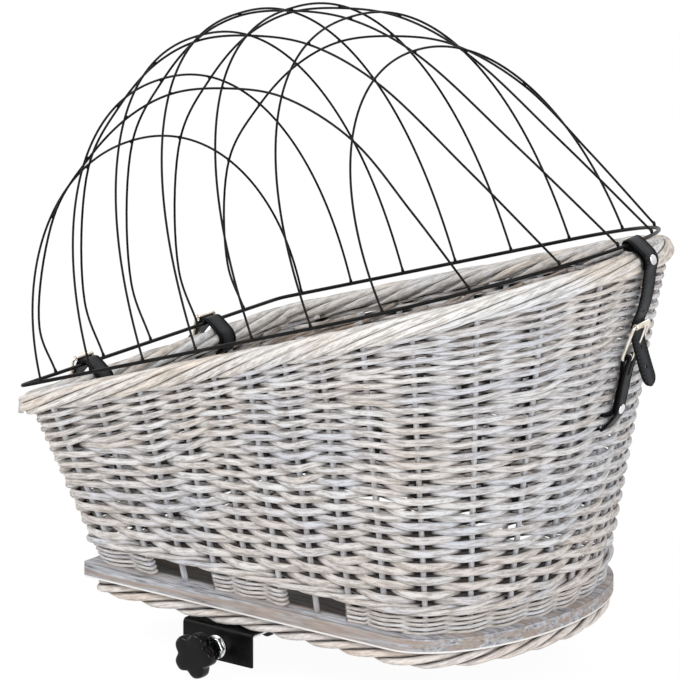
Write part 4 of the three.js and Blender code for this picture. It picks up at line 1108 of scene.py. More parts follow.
def make_lattice():
    ring = Outline(0, RING_STRAIGHT, RING_END, RING_HALF_WIDTH, RING_CORNER)
    along, across = ring.at(np.linspace(0, ring.length, 420, endpoint=False))
    lattice_wire("ring_wire", np.column_stack((along, across, np.zeros(len(along)))), RING_WIRE, "lattice_ring", True)
    arches = [CrossArch(*sizes) for sizes in CROSS_ARCHES]
    crossing = [lattice_wire(f"cross_wire_{i}", arch.at(np.linspace(0, math.pi, 97)), ARCH_WIRE, f"cross_arch_{i}")
                for i, arch in enumerate(arches, 1)]
    lengthwise = [
        lattice_wire(f"long_wire_{i}", long_arch(foot * MM, crown * MM, arches, 10), ARCH_WIRE, f"long_arch_{i}")
        for i, (foot, crown) in enumerate(LONG_ARCHES, 1)]
    make_welds(crossing, lengthwise)


# Straps

LEATHER_HALF = 0.95 * MM
STRAP_HALF = 10 * MM
ANCHOR_HALF = 7.5 * MM
BUCKLE_LENGTH = 31 * MM
BUCKLE_HALF = 12.5 * MM
BUCKLE_WIRE = 2.6 * MM
ROLLER_GIRTH = 5.2 * MM
ROLLER_HALF = 10.2 * MM
PRONG_REACH = 32.9 * MM
PRONG_EYE = 2.55 * MM
PRONG_TIP = 3.8 * MM
PRONG_BOW = 0.9 * MM
FRONT_CORNER = 2.2 * MM
STITCH_SPACING = 3.3 * MM
STITCH_LENGTH = 2.3 * MM
STITCH_INSET = 2.35 * MM
WALL_FACE = 14.54
WALL_LEAN = 0.23359
RIVET_HEAD = 4.2 * MM
HINGE_APART = 158 * MM


def arc(centre, radius, degrees):
    """Points on a circle, in millimetres, out from the basket and up."""
    return [(centre[0] + radius * math.cos(math.radians(degree)), centre[1] + radius * math.sin(math.radians(degree)))
            for degree in degrees]


def columns(x, y, z, place):
    """Matrix from its axes and its place."""
    return Matrix((x, y, z)).transposed().to_4x4() + Matrix([[0, 0, 0, value] for value in place] + [[0, 0, 0, 0]])


class Buckle:
    """Place of a roller buckle: X runs from its heel bar to its front bar, and Z faces outwards."""

    def __init__(self, front, heel_degrees, strap_place):
        angle = math.radians(heel_degrees)
        self.front = front
        self.heel = arc(front, BUCKLE_LENGTH / MM, (heel_degrees,))[0]
        self.facing = (-math.sin(angle), math.cos(angle))
        towards_front = Vector((-math.cos(angle), 0, -math.sin(angle)))
        facing = Vector((self.facing[0], 0, self.facing[1]))
        heel = (self.heel[0] * MM, 0, self.heel[1] * MM)
        self.place = strap_place @ columns(towards_front, facing.cross(towards_front), facing, heel)

    def between(self, share, lift):
        """Point from the front bar towards the heel bar, lifted outwards."""
        return tuple(self.front[i] + (self.heel[i] - self.front[i]) * share + lift * self.facing[i] for i in (0, 1))


def strap_section():
    """A strap's section as shares of its half width and half thickness: rounded edges and a creased line by each."""
    right = [(0.66, 1.0), (0.7, 0.97), (0.74, 0.4), (0.79, 0.4), (0.83, 0.97), (0.92, 0.9), (0.98, 0.58), (1.0, 0.0)]
    lower = [(w, -t) for w, t in reversed(right[:-1])]
    right_side = [(0.0, 1.0), *right, *lower]
    left_side = [(-w, -t) for w, t in right_side]
    return np.array(right_side + left_side)


class Strap:
    """A leather strap along a path that is given out from the basket and up, in millimetres."""

    def __init__(self, points, half_width, place, closed=False):
        self.path = through(np.array(points) * MM, 8, closed)
        self.half_width, self.place, self.closed = half_width, place, closed
        along = directions(self.path, closed)
        self.out = np.column_stack((-along[:, 1], along[:, 0]))
        self.length = running_length(self.path)

    def nearest(self, point):
        """Distance along the strap to the place nearest to a point."""
        gaps = np.linalg.norm(self.path - np.array(point) * MM, axis=1)
        return self.length[int(np.argmin(gaps))]

    def at(self, distance, across=0.0, lift=0.0):
        """Part coordinates of a place on the strap's outer side."""
        x, z = (np.interp(distance, self.length, self.path[:, i]) for i in (0, 1))
        out_x, out_z = (np.interp(distance, self.length, self.out[:, i]) for i in (0, 1))
        return self.place @ Vector((x + out_x * lift, across, z + out_z * lift))

    def build(self, name, round_end=0.0):
        section = strap_section()
        count, around = len(self.path), len(section)
        left = self.length[-1] - self.length
        width = np.ones(count)
        if round_end:
            width = np.sqrt(np.clip(1 - (1 - np.clip(left / round_end, 0.004, 1)) ** 2, 0, 1))
        through_strap = section[None, :, 1:2] * LEATHER_HALF * self.out[:, None]
        flat = self.path[:, None] + through_strap * np.clip(width, 0.5, 1)[:, None, None]
        across = section[None, :, 0] * self.half_width * width[:, None]
        points = [self.place @ Vector((flat[i, j, 0], across[i, j], flat[i, j, 1]))
                  for i in range(count) for j in range(around)]
        faces = ring_quads(count, around, self.closed).tolist()
        if not self.closed:
            faces += [list(range(around)), list(range((count - 1) * around, count * around))]
        mesh = bpy.data.meshes.new(name)
        mesh.from_pydata(points, [], faces)
        face_map = mesh.uv_layers.new(name="strap_face")
        for loop in mesh.loops:
            step, spot = divmod(loop.vertex_index, around)
            face_map.data[loop.index].uv = (self.length[step], section[spot, 0])
        piece = put_in_scene(name, mesh)
        faced_out(piece)
        return piece

    def cutter(self, distance, radius):
        """A peg through the strap, for a punched hole."""
        middle, outside = self.at(distance), self.at(distance, 0, 5 * MM)
        return peg(middle, outside - middle, radius, 9 * MM)


def only(piece):
    """Makes one object the selected and active one."""
    bpy.ops.object.select_all(action="DESELECT")
    piece.select_set(True)
    bpy.context.view_layer.objects.active = piece


def faced_out(piece):
    only(piece)
    bpy.ops.object.mode_set(mode="EDIT")
    bpy.ops.mesh.select_all(action="SELECT")
    bpy.ops.mesh.normals_make_consistent(inside=False)
    bpy.ops.object.mode_set(mode="OBJECT")
    bpy.ops.object.shade_smooth_by_angle(angle=math.radians(35))


def peg(middle, axis, radius, length, sides=18):
    bpy.ops.object.select_all(action="DESELECT")
    bpy.ops.mesh.primitive_cylinder_add(vertices=sides, radius=radius, depth=length)
    piece = bpy.context.object
    piece.data.transform(axis.to_track_quat("Z", "Y").to_matrix().to_4x4())
    piece.data.transform(Matrix.Translation(middle))
    return piece


def box(low, high):
    """A block between two corners."""
    bpy.ops.object.select_all(action="DESELECT")
    bpy.ops.mesh.primitive_cube_add(size=1)
    piece = bpy.context.object
    low, high = Vector(low), Vector(high)
    size = high - low
    piece.data.transform(Matrix.Translation((low + high) / 2) @ Matrix.Diagonal((*size, 1)))
    return piece


def cut_away(piece, *cutters):
    """Takes each cutter's shape out of a piece and removes the cutter."""
    for cutter in cutters:
        only(piece)
        cut = piece.modifiers.new("cut", "BOOLEAN")
        cut.operation = "DIFFERENCE"
        cut.solver = "EXACT"
        cut.object = cutter
        bpy.ops.object.modifier_apply(modifier=cut.name)
        bpy.data.objects.remove(cutter)
    bpy.ops.object.shade_smooth_by_angle(angle=math.radians(35))


def turned(name, profile, place, sides):
    """A round piece drawn up ring by ring, as on a lathe: each profile entry is a radius and a height."""
    bpy.ops.object.select_all(action="DESELECT")
    radius, height = profile[0]
    bpy.ops.mesh.primitive_circle_add(vertices=sides, radius=radius, fill_type="NGON", location=(0, 0, height))
    piece = bpy.context.object
    piece.name = piece.data.name = name
    drawn_up(piece, profile)
    bpy.ops.object.transform_apply(location=True, rotation=False, scale=False)
    piece.data.transform(place)
    faced_out(piece)
    return piece


def drawn_up(piece, profile):
    """Extrudes a flat face through a profile's heights and sizes."""
    only(piece)
    bpy.ops.object.mode_set(mode="EDIT")
    bpy.ops.mesh.select_all(action="SELECT")
    for (radius, height), (next_radius, next_height) in zip(profile, profile[1:]):
        bpy.ops.mesh.extrude_region_move(TRANSFORM_OT_translate={"value": (0, 0, next_height - height)})
        share = next_radius / radius
        bpy.ops.transform.resize(value=(share, share, 1), center_override=(0, 0, next_height))
    bpy.ops.object.mode_set(mode="OBJECT")


def make_buckle_frame(name, node, body, place, heel_corner):
    """Bent wire frame of a buckle."""
    frame_piece = Strands(14)
    front = BUCKLE_LENGTH - FRONT_CORNER
    corners = [(front, 1, FRONT_CORNER, 0), (heel_corner, 1, heel_corner, 90),
               (heel_corner, -1, heel_corner, 180), (front, -1, FRONT_CORNER, 270)]
    path = []
    for x, side, radius, start in corners:
        y = side * (BUCKLE_HALF - radius)
        path += [(x + radius * math.cos(a), y + radius * math.sin(a), 0)
                 for a in np.radians(np.linspace(start, start + 90, 9))]
    placed = np.array([place @ Vector(point) for point in path])
    frame_piece.add(placed, axis_of(place, 0, 0, 1), BUCKLE_WIRE / 2, BUCKLE_WIRE / 2, closed=True)
    return settle(frame_piece.build(name), NICKEL, "buckle_nickel", body, node)


def make_prong(name, node, body, place):
    """Prong of a buckle, with its eye on the heel bar."""
    prong = Strands(12)
    reach = np.linspace(0, 1, 26)
    rise = PRONG_EYE + (PRONG_TIP - PRONG_EYE) * reach + PRONG_BOW * np.sin(math.pi * reach) ** 2 * reach
    line = np.column_stack((PRONG_REACH * reach, np.zeros(len(reach)), rise))
    line[-3:, 2] -= np.array((0, 0.15, 0.5)) * MM
    thick = np.interp(reach, [0, 0.08, 0.85, 0.97, 1], [0.9, 1.15, 1.05, 0.9, 0.45]) * MM
    prong.add([place @ Vector(point) for point in line], axis_of(place, 0, 0, 1), thick * 0.92, thick)
    ring = np.linspace(0, 2 * math.pi, 28, endpoint=False)
    eye = [place @ Vector((PRONG_EYE * math.sin(a), 0, PRONG_EYE * math.cos(a))) for a in ring]
    prong.add(eye, axis_of(place, 0, 1, 0), 1.6 * MM, 0.85 * MM, closed=True)
    return settle(prong.build(name), NICKEL, "buckle_nickel", body, node)


def make_roller(name, node, body, place):
    """Tube rolled round a buckle's front bar, with its seam."""
    half, girth = ROLLER_HALF, ROLLER_GIRTH / 2
    bore = BUCKLE_WIRE / 2 + 0.3 * MM
    lying = place @ Matrix.Translation((BUCKLE_LENGTH, 0, 0)) @ Matrix.Rotation(math.pi / 2, 4, "X")
    profile = [(bore, -half + 1.5 * MM), (bore, -half), (girth - 0.35 * MM, -half), (girth, -half + 0.35 * MM),
               (girth, half - 0.35 * MM), (girth - 0.35 * MM, half), (bore, half), (bore, half - 1.5 * MM)]
    roller = turned(name, profile, Matrix(), 36)
    seam = box((girth - 0.4 * MM, -0.2 * MM, -half - MM), (girth + MM, 0.2 * MM, half + MM))
    seam.data.transform(Matrix.Rotation(math.radians(200), 4, "Z"))
    cut_away(roller, seam)
    roller.data.transform(lying)
    return settle(roller, NICKEL, "buckle_nickel", body, node)


def make_rivet(name, node, body, place):
    """Domed tubular rivet with a rolled edge."""
    head = RIVET_HEAD
    profile = [(1.5 * MM, -3 * MM), (1.5 * MM, -0.1 * MM), (head * 0.9, -0.1 * MM), (head, 0.35 * MM),
               (head * 0.985, 0.8 * MM), (head * 0.93, 1.15 * MM), (head * 0.84, 1.3 * MM), (head * 0.8, 1.22 * MM),
               (head * 0.74, 1.42 * MM), (head * 0.55, 1.85 * MM), (head * 0.3, 2.12 * MM), (head * 0.08, 2.2 * MM)]
    upright = place @ Matrix.Rotation(math.pi / 2, 4, "Y")
    return settle(turned(name, profile, upright, 36), CHROME, "rivet_chrome", body, node)


def stitch_rows(name, strap, first, last, body):
    """Short waxed stitches along both edges of a strap."""
    stitches = Strands(6)
    for start in np.arange(first, last - STITCH_LENGTH, STITCH_SPACING):
        left = strap.length[-1] - start
        room = strap.half_width * math.sqrt(max(1 - (1 - min(left / strap.half_width, 1)) ** 2, 0.05))
        for side in (-1, 1):
            across = side * max(room - STITCH_INSET, 0)
            reach = np.linspace(0, 1, 5)
            lift = LEATHER_HALF + 0.55 * MM * np.sin(math.pi * reach) - 0.6 * MM
            path = [strap.at(start + STITCH_LENGTH * share, across, rise) for share, rise in zip(reach, lift)]
            up = np.array((strap.at(start, 0, MM) - strap.at(start))[:])
            stitches.add(path, up, 0.36 * MM, 0.42 * MM)
    return settle(stitches.build(name), STRAP_THREAD, "black_leather", body)


def make_hinge_straps():
    """Two straps round the rim and the ring wire at the low end. Each is buckled outside, and its tail hangs down."""
    slope_sin, slope_cos = math.sin(SLOPE), math.cos(SLOPE)
    place = columns(Vector((-slope_cos, 0, -slope_sin)), Vector((0, -1, 0)), Vector((-slope_sin, 0, slope_cos)),
                    (LOW_END, -HINGE_APART / 2, RING_HEIGHT))
    buckle = Buckle((5.5, 6.5), -61.5, place)
    x, z = buckle.heel
    points = [(x - 10.5, z - 1.2), (x - 6, z + 0.6), *arc(buckle.heel, 2.5, (110, 60, 10, -40, -90)),
              (x - 9, z - 3.6), *arc((-RIM_INSET / MM, -RIM_DROP / MM), 11.2, (-78, -110, -140, -170, -200, -220.5)),
              *arc((0, 0), 3.1, (139.5, 108)), *arc(buckle.front, 3.6, (245,)),
              buckle.between(0.28, -0.8), buckle.between(0.46, 2.6),
              (21.7, -9.7), (26.2, -17.6), (28.8, -28), (28.4, -42)]
    strap = Strap(points, STRAP_HALF, place)
    leather = strap.build("hinge_leather_near", 9 * MM)
    end = strap.length[-1]
    cut_away(leather, strap.cutter(end - 17 * MM, 1.5 * MM))
    prong = make_prong("hinge_prong_near_piece", "hinge_prong_near", "basket", buckle.place)
    roller = make_roller("hinge_roller_near_piece", "hinge_roller_near", "hinge_roller_near", buckle.place)
    near = [settle(leather, BLACK_LEATHER, "black_leather", "basket", "hinge_strap_near"),
            stitch_rows("hinge_stitches_near", strap, end - 36 * MM, end - 1.2 * MM, "basket"),
            make_buckle_frame("hinge_frame_near_piece", "hinge_buckle_near", "basket", buckle.place, 2 * MM),
            prong, roller]
    for piece in near:
        far_twin(piece, Matrix.Translation((0, HINGE_APART, 0)))
    return prong, roller, buckle.place


def on_wall(point):
    """Moves a point given out from the wall's face to where that face is at its height."""
    out, height = point
    return WALL_FACE + WALL_LEAN * height + out, height


def rivet_place(place, point, degrees):
    """Place of a rivet at a point of a strap's path, facing away at an angle."""
    middle = Matrix.Translation((point[0] * MM, 0, point[1] * MM))
    return place @ middle @ Matrix.Rotation(-math.radians(degrees), 4, "Y")


def make_closing_strap(prong, roller, prong_place):
    """A strap looped on the ring wire at the high end, with its rivet, and the buckle it runs through."""
    swing = joints["closing_strap_swing"]
    turn = math.atan2(-swing["axis"][0], swing["axis"][1])
    place = Matrix.Translation(swing["pos_m"]) @ Matrix.Rotation(turn, 4, "Z")
    rim = (3.65, -15.48)
    buckle = Buckle((9, -66), -111.2, place)
    points = [*arc(rim, 12, (-12, 12, 36, 60, 80)), *arc((0, 0), 3.9, (-80, -130, -180, -230, -280)),
              *arc(rim, 14.6, (58, 36, 12)), (16.3, -21), (14.3, -37), (10.6, -52), buckle.between(0, -3.6),
              (5.6, -75.4), (8.8, -87.5), (13.5, -101.5), (18.7, -115.5)]
    strap = Strap(points, STRAP_HALF, place)
    piece = strap.build("closing_leather", 9.5 * MM)
    bend = strap.nearest(buckle.between(0, -3.6))
    cut_away(piece, *[strap.cutter(bend + step * MM, 1.6 * MM) for step in (-11.5, 4.5, 20.5, 36.5)])
    settle(piece, BLACK_LEATHER, "black_leather", "closing_strap", "closing_strap")
    stitches_from = strap.nearest((16.3, -21)) - 14 * MM
    stitch_rows("closing_stitches", strap, stitches_from, strap.length[-1] - 1.2 * MM, "closing_strap")
    upper_place = rivet_place(place, arc(rim, 15.7, (17,))[0], 17)
    upper_rivet = make_rivet("closing_rivet_head", "closing_strap_rivet", "closing_strap", upper_place)
    make_buckle_frame("closing_frame_piece", "closing_buckle", "closing_buckle", buckle.place, 4.2 * MM)
    from_hinge = buckle.place @ prong_place.inverted()
    copied(prong, "closing_prong_piece", from_hinge, "closing_prong", "closing_prong")
    copied(roller, "closing_roller_piece", from_hinge, "closing_roller", "closing_roller")
    make_anchor_strap(place, buckle, upper_rivet, upper_place)


def make_anchor_strap(place, buckle, upper_rivet, upper_place):
    """The short strap laced into the wall, which holds the closing strap's buckle."""
    rivet = on_wall((6.3, -138))
    down = math.degrees(math.atan2(rivet[1] - buckle.heel[1], rivet[0] - buckle.heel[0]))
    out = down + 90
    away = arc((0, 0), 1, (out,))[0]

    def leg(share, side):
        apart = side * (2.5 + (1.3 - 2.5) * min(3 * share, 1))
        return tuple(buckle.heel[i] + (rivet[i] - buckle.heel[i]) * share + apart * away[i] for i in (0, 1))

    points = [*arc(buckle.heel, 2.5, [out + degrees for degrees in (180, 135, 90, 45, 0)]),
              *[leg(share, 1) for share in (0.2, 0.4, 0.7, 1, 1.1)],
              *[on_wall(point) for point in ((2.9, -151.5), (-2.2, -158), (-10, -160.8))],
              *[on_wall(point) for point in ((-13.1, -147.6), (-7.5, -145.6), (-1.2, -144.6))],
              *[leg(share, -1) for share in (1.1, 1, 0.7, 0.4, 0.2)]]
    anchor = Strap(points, ANCHOR_HALF, place, closed=True)
    piece = anchor.build("anchor_leather")
    slot = box((-14 * MM, -2.1 * MM, -3.9 * MM), (3.9 * MM, 2.1 * MM, 7 * MM))
    slot.data.transform(buckle.place)
    cut_away(piece, slot)
    settle(piece, BLACK_LEATHER, "black_leather", "basket", "anchor_strap")
    head = tuple(rivet[i] + 2.4 * away[i] for i in (0, 1))
    lower_place = rivet_place(place, head, out)
    copied(upper_rivet, "anchor_rivet_head", lower_place @ upper_place.inverted(), "basket", "anchor_rivet")


# Clamp

PLATE_LOW, PLATE_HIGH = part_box("clamp_plate")
PLATE_THICK = 2.5 * MM
PLATE_FOLD = 4 * MM
SCREW_ALONG = 22 * MM
SCREW_ACROSS = 66 * MM
SCREW_HEAD = 4.2 * MM
SCREW_SHANK = 2 * MM
BOLT_HEIGHT = -15 * MM
BOLT_HOLE = 4.3 * MM
BOLT_LOW = -64.7 * MM
BOLT_HIGH = 8 * MM
BOLT_CORE = 3.35 * MM
THREAD_RADIUS = 3.5 * MM
THREAD_PITCH = 1.25 * MM
KNOB_RADIUS = 19.5 * MM
KNOB_DIP = 4.6 * MM
KNOB_LOBES = 5
KNOB_SIDES = 150
KNOB_BACK = 21.6 * MM
KNOB_FRONT = 34.6 * MM
HUB_START = 6.9 * MM
HUB_ROOT = 9.7 * MM
HUB_RADIUS = 11.2 * MM
HUB_RIBS = 22
NUT_CORNER = 17 * MM / math.sqrt(3)
PAD_FACE = -68 * MM
PAD_RADIUS = 7.2 * MM


def slab(name, outline, thickness, turn):
    """A flat outline pulled up to a thickness."""
    piece = flat_piece(name, outline)
    bpy.ops.object.mode_set(mode="EDIT")
    bpy.ops.mesh.select_all(action="SELECT")
    bpy.ops.mesh.extrude_region_move(TRANSFORM_OT_translate={"value": (0, 0, thickness)})
    bpy.ops.object.mode_set(mode="OBJECT")
    piece.data.transform(turn)
    faced_out(piece)
    return piece


def make_plate():
    """Steel strip folded down at both sides, with countersunk screw holes and a bolt hole in each side."""
    half = PLATE_HIGH.y
    quarter = np.radians(np.linspace(0, 90, 9))

    def bend(radius, angles):
        y, z = half - PLATE_FOLD, PLATE_THICK - PLATE_FOLD
        return [(y + radius * math.cos(a), z + radius * math.sin(a)) for a in angles]

    outer, inner = bend(PLATE_FOLD, quarter), bend(PLATE_FOLD - PLATE_THICK, quarter[::-1])
    right = [(half - PLATE_THICK, PLATE_LOW.z), (half, PLATE_LOW.z), *outer]
    left = [(-y, z) for y, z in reversed(right)]
    left_inner = [(-y, z) for y, z in reversed(inner)]
    stand = Matrix(((0, 0, 1, PLATE_LOW.x), (1, 0, 0, 0), (0, 1, 0, 0), (0, 0, 0, 1)))
    plate = slab("folded_clamp_plate", [*right, *left, *left_inner, *inner], PLATE_HIGH.x - PLATE_LOW.x, stand)
    round_edges(plate, 0.55 * MM, 2, 60)
    sink = [(4.7 * MM, -MM), (4.5 * MM, 0.3 * MM), (2.3 * MM, 2.6 * MM), (2.3 * MM, 4 * MM)]
    for x in (-SCREW_ALONG, SCREW_ALONG):
        for y in (-SCREW_ACROSS, SCREW_ACROSS):
            cut_away(plate, turned("sink", sink, Matrix.Translation((x, y, 0)), 28))
    for y in (-half, half):
        cut_away(plate, peg(Vector((0, y, BOLT_HEIGHT)), Vector((0, 1, 0)), BOLT_HOLE, 12 * MM, 28))
    settle(plate, STEEL, "bracket_steel", "basket", "clamp_plate")


def make_battens_and_screws():
    low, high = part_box("spacer_batten_low")
    batten = box(low, high)
    batten.name = batten.data.name = "batten_low"
    round_edges(batten, 1.0 * MM, 3)
    settle(batten, BATTEN_WASH, "grey_board", "basket", "spacer_batten_low")
    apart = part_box("spacer_batten_high")[0] - low
    copied(batten, "batten_high", Matrix.Translation(apart), "basket", "spacer_batten_high")

    low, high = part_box("clamp_screw_1")
    middle = (low + high) / 2
    profile = [(SCREW_HEAD * 0.92, low.z), (SCREW_HEAD, low.z + 0.35 * MM), (SCREW_SHANK, low.z + 2.5 * MM),
               (SCREW_SHANK, high.z - 4 * MM), (0.3 * MM, high.z)]
    screw = turned("countersunk_screw_1", profile, Matrix(), 28)
    for width, length in ((1.1 * MM, 5 * MM), (5 * MM, 1.1 * MM)):
        cut_away(screw, box((-width / 2, -length / 2, low.z - MM), (width / 2, length / 2, low.z + 1.6 * MM)))
    screw.data.transform(Matrix.Translation((middle.x, middle.y, 0)))
    settle(screw, ZINC, "zinc_steel", "basket", "clamp_screw_1")
    for number in (2, 3, 4):
        node = f"clamp_screw_{number}"
        copied(screw, f"countersunk_screw_{number}", Matrix.Translation(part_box(node)[0] - low), "basket", node)


def make_knob(facing, body):
    """Star knob and its ribbed hub."""
    back, front, first = KNOB_BACK, KNOB_FRONT, 0.62
    turn = np.linspace(0, 2 * math.pi, KNOB_SIDES, endpoint=False)
    radius = first * (KNOB_RADIUS - KNOB_DIP * ((1 - np.cos(KNOB_LOBES * turn)) / 2) ** 1.7)
    knob = flat_piece("star_knob_near", np.column_stack((radius * np.cos(turn), radius * np.sin(turn))), back)
    drawn_up(knob, [(first, back), (0.84, back + 0.2 * MM), (0.93, back + 0.9 * MM), (0.975, back + 2.0 * MM),
                    (0.995, back + 3.6 * MM), (1.0, back + 6.5 * MM), (0.995, front - 3.4 * MM),
                    (0.97, front - 1.9 * MM), (0.92, front - 0.95 * MM), (0.85, front - 0.45 * MM),
                    (0.74, front - 0.2 * MM), (0.5, front - 0.05 * MM), (0.2, front)])
    knob.data.transform(facing)
    faced_out(knob)
    bpy.ops.object.shade_smooth_by_angle(angle=math.radians(50))
    settle(knob, KNOB_PLASTIC, "knob_plastic", body, "clamp_knob_near")

    profile = [(4.1 * MM, HUB_START), (HUB_ROOT * 0.9, HUB_START), (HUB_ROOT, HUB_START + 0.7 * MM),
               (HUB_ROOT + 0.4 * MM, HUB_START + 3 * MM), (HUB_RADIUS, back + 0.6 * MM)]
    hub = settle(turned("knob_hub_near", profile, facing, 48), KNOB_PLASTIC, "knob_plastic", body)
    ribs = Strands(8)
    thick = np.array((0.5, 0.85, 0.9, 0.9, 0.9, 0.9)) * MM
    heights = np.linspace(HUB_START + 1.6 * MM, back + 0.4 * MM, len(thick))
    radii = np.linspace(HUB_ROOT + 0.3 * MM, HUB_RADIUS, len(thick))
    for turn in np.linspace(0, 2 * math.pi, HUB_RIBS, endpoint=False):
        out = Vector((math.cos(turn), math.sin(turn), 0))
        path = [facing @ (out * radius + Vector((0, 0, height))) for radius, height in zip(radii, heights)]
        ribs.add(path, axis_of(facing, *out), thick, thick)
    return [knob, hub, settle(ribs.build("knob_ribs_near"), KNOB_PLASTIC, "knob_plastic", body)]


def make_bolt(facing, body):
    """Bolt with its thread wound round it."""
    profile = [(2.6 * MM, BOLT_LOW), (BOLT_CORE, BOLT_LOW + 0.8 * MM), (BOLT_CORE, BOLT_HIGH)]
    core = settle(turned("bolt_core_near", profile, facing, 24), ZINC, "zinc_steel", body, "clamp_bolt_near")
    thread = Strands(4)
    turns = (BOLT_HIGH - BOLT_LOW - 2 * MM) / THREAD_PITCH
    angle = np.linspace(0, 2 * math.pi * turns, int(turns * 20))
    outwards = np.column_stack((np.cos(angle), np.sin(angle), np.zeros(len(angle))))
    line = THREAD_RADIUS * outwards
    line[:, 2] = BOLT_LOW + MM + THREAD_PITCH * angle / (2 * math.pi)
    turn = np.array(facing.to_3x3()).T
    thread.add(line @ turn + np.array(facing.translation[:]), outwards @ turn, 0.48 * MM, 0.5 * MM)
    return [core, settle(thread.build("bolt_thread_near"), ZINC, "zinc_steel", body)]


def make_nut(facing):
    """Hexagon nut with a round flange."""
    profile = [(NUT_CORNER * 0.9, 0.3 * MM), (NUT_CORNER, 0.95 * MM), (NUT_CORNER, 5.6 * MM),
               (NUT_CORNER * 0.9, 6.25 * MM)]
    nut = turned("hex_nut_near", profile, facing @ Matrix.Rotation(math.pi / 6, 4, "Z"), 6)
    round_edges(nut, 0.35 * MM, 2, 20)
    settle(nut, ZINC, "zinc_steel", "basket", "clamp_nut_near")
    profile = [(9.4 * MM, 0.25 * MM), (9.8 * MM, 0.5 * MM), (9.8 * MM, 1.5 * MM), (9.5 * MM, 1.8 * MM),
               (8 * MM, 2.1 * MM)]
    return [nut, settle(turned("nut_flange_near", profile, facing, 48), ZINC, "zinc_steel", "basket")]


def make_pad(facing):
    """Rubber pad with a ring groove in its face."""
    shape = [(0.3, 0.6), (0.42, 0), (0.55, 0), (0.6, 0.6), (0.68, 0.6), (0.73, 0), (0.9, 0), (0.97, 0.35), (1, 1),
             (1, 5), (0.93, 5.8)]
    profile = [(PAD_RADIUS * share, PAD_FACE + height * MM) for share, height in shape]
    profile.append((4.2 * MM, PAD_FACE + 6 * MM))
    pad = turned("bearing_pad_near", profile, facing, 40)
    return settle(pad, PAD_RUBBER, "pad_rubber", "clamp_pad_near", "clamp_pad_near")


def make_clamp_screws():
    """The clamp screw of the near side, and the far side's as a copy turned over about the bolts' line."""
    facing = Matrix.Translation((0, PLATE_LOW.y, BOLT_HEIGHT)) @ Matrix.Rotation(math.pi / 2, 4, "X")
    body = "clamp_knob_near"
    near = [*make_knob(facing, body), *make_bolt(facing, body), *make_nut(facing), make_pad(facing)]
    to_bolt = Matrix.Translation((0, 0, BOLT_HEIGHT))
    for piece in near:
        far_twin(piece, to_bolt @ Matrix.Rotation(math.pi, 4, "X") @ to_bolt.inverted())


# Studio

FLOOR_SIZE = 9
LAMPS_AIM = (0.05, 0, 0.2)
LAMPS = (("key_panel", (-1.5, -2.4, 2.6), 1.9, 47, (1, 1, 1)),
         ("side_panel", (2.6, -1.6, 1.5), 1.7, 43, (0.94, 0.97, 1.0)),
         ("back_panel", (-0.6, 2.6, 2.4), 1.8, 15, (1, 1, 1)))


def shown_or_lit(nodes, lit, shown):
    """One value for rays that light the object, and another for those that show the room in the picture."""
    path = nodes.add("ShaderNodeLightPath").outputs
    seen = nodes.math("MAXIMUM", path["Is Camera Ray"], path["Is Glossy Ray"])
    seen = nodes.math("MAXIMUM", seen, path["Is Transmission Ray"])
    return nodes.ranged(seen, 0.0, 1.0, lit, shown)


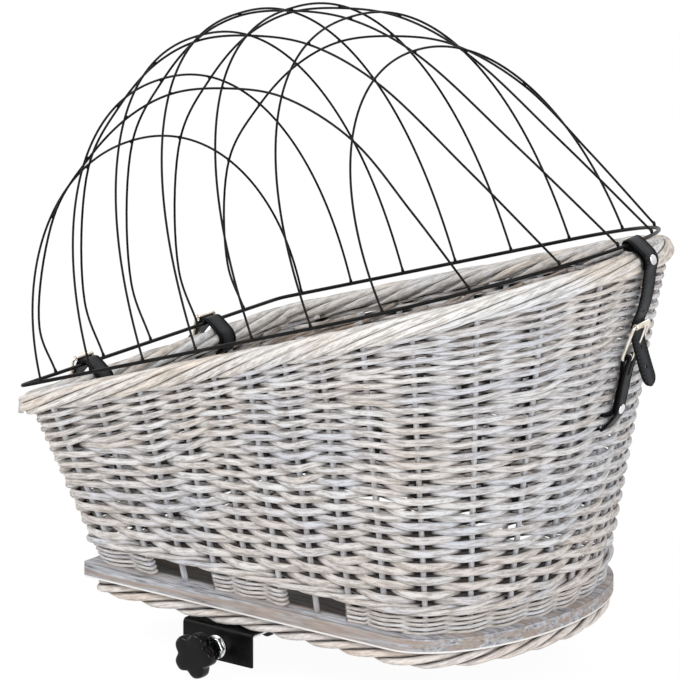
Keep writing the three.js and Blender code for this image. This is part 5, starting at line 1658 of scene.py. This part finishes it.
def make_camera():
    turn, rise = math.radians(CAMERA_TURN), math.radians(CAMERA_RISE)
    back = Vector((math.sin(turn) * math.cos(rise), -math.cos(turn) * math.cos(rise), math.sin(rise)))
    data = bpy.data.cameras.new("studio_camera")
    data.sensor_width = SENSOR
    data.lens = SENSOR * CAMERA_DISTANCE / CAMERA_VIEW
    data.clip_end = 60
    camera = put_in_scene("studio_camera", data)
    camera.location = Vector(CAMERA_TARGET) + back * CAMERA_DISTANCE
    camera.rotation_euler = (-back).to_track_quat("-Z", "Y").to_euler()
    bpy.context.scene.camera = camera


def make_room():
    """White world, three soft lamps, and a white floor that keeps the object's shadow."""
    world = bpy.data.worlds.new("studio_white")
    bpy.context.scene.world = world
    world.use_nodes = True
    nodes = Nodes(world.node_tree)
    sky = world.node_tree.nodes["Background"].inputs
    nodes.put((1, 1, 1, 1), sky["Color"])
    nodes.put(shown_or_lit(nodes, 0.62, 1.0), sky["Strength"])

    for name, place, size, power, tint in LAMPS:
        light = bpy.data.lights.new(name, "AREA")
        light.shape = "DISK"
        light.size = size
        light.energy = power
        light.color = tint
        lamp = put_in_scene(name, light)
        lamp.location = place
        aim = Vector(LAMPS_AIM) - Vector(place)
        lamp.rotation_euler = aim.to_track_quat("-Z", "Y").to_euler()

    bpy.ops.object.select_all(action="DESELECT")
    bpy.ops.mesh.primitive_plane_add(size=FLOOR_SIZE, location=(0, 0, cad_box[0].z - 0.5 * MM))
    floor = bpy.context.object
    floor.name = "studio_floor"
    white = Finish("studio_floor_white", Base_Color=(0.9, 0.9, 0.9, 1), Roughness=0.9)
    glow = white.add("ShaderNodeEmission", {"Color": (1, 1, 1, 1), "Strength": 1.03}).outputs[0]
    shares = {0: shown_or_lit(white, 0.0, 0.93), 1: white.shader.outputs[0], 2: glow}
    blend = white.add("ShaderNodeMixShader", shares).outputs[0]
    white.put(blend, white.tree.nodes["Material Output"].inputs["Surface"])
    floor.data.materials.append(white.material)


bpy.context.scene.view_settings.view_transform = "Standard"
make_camera()
make_room()
make_weave()
make_stakes()
make_wale()
band_rng = random.Random(SEED + 3)
for band, first_stake, last_stake in (
        ("band_low_end", -5, 5), ("band_near", 7, 9), ("band_high_end", 11, 22), ("band_far", 24, 26)):
    make_band(band, first_stake, last_stake, band_rng)
make_inner_ends()
make_cut_end()
make_rim()
make_braid()
make_board()
make_lattice()
hinge_prong, hinge_roller, hinge_buckle_place = make_hinge_straps()
make_closing_strap(hinge_prong, hinge_roller, hinge_buckle_place)
make_plate()
make_battens_and_screws()
make_clamp_screws()
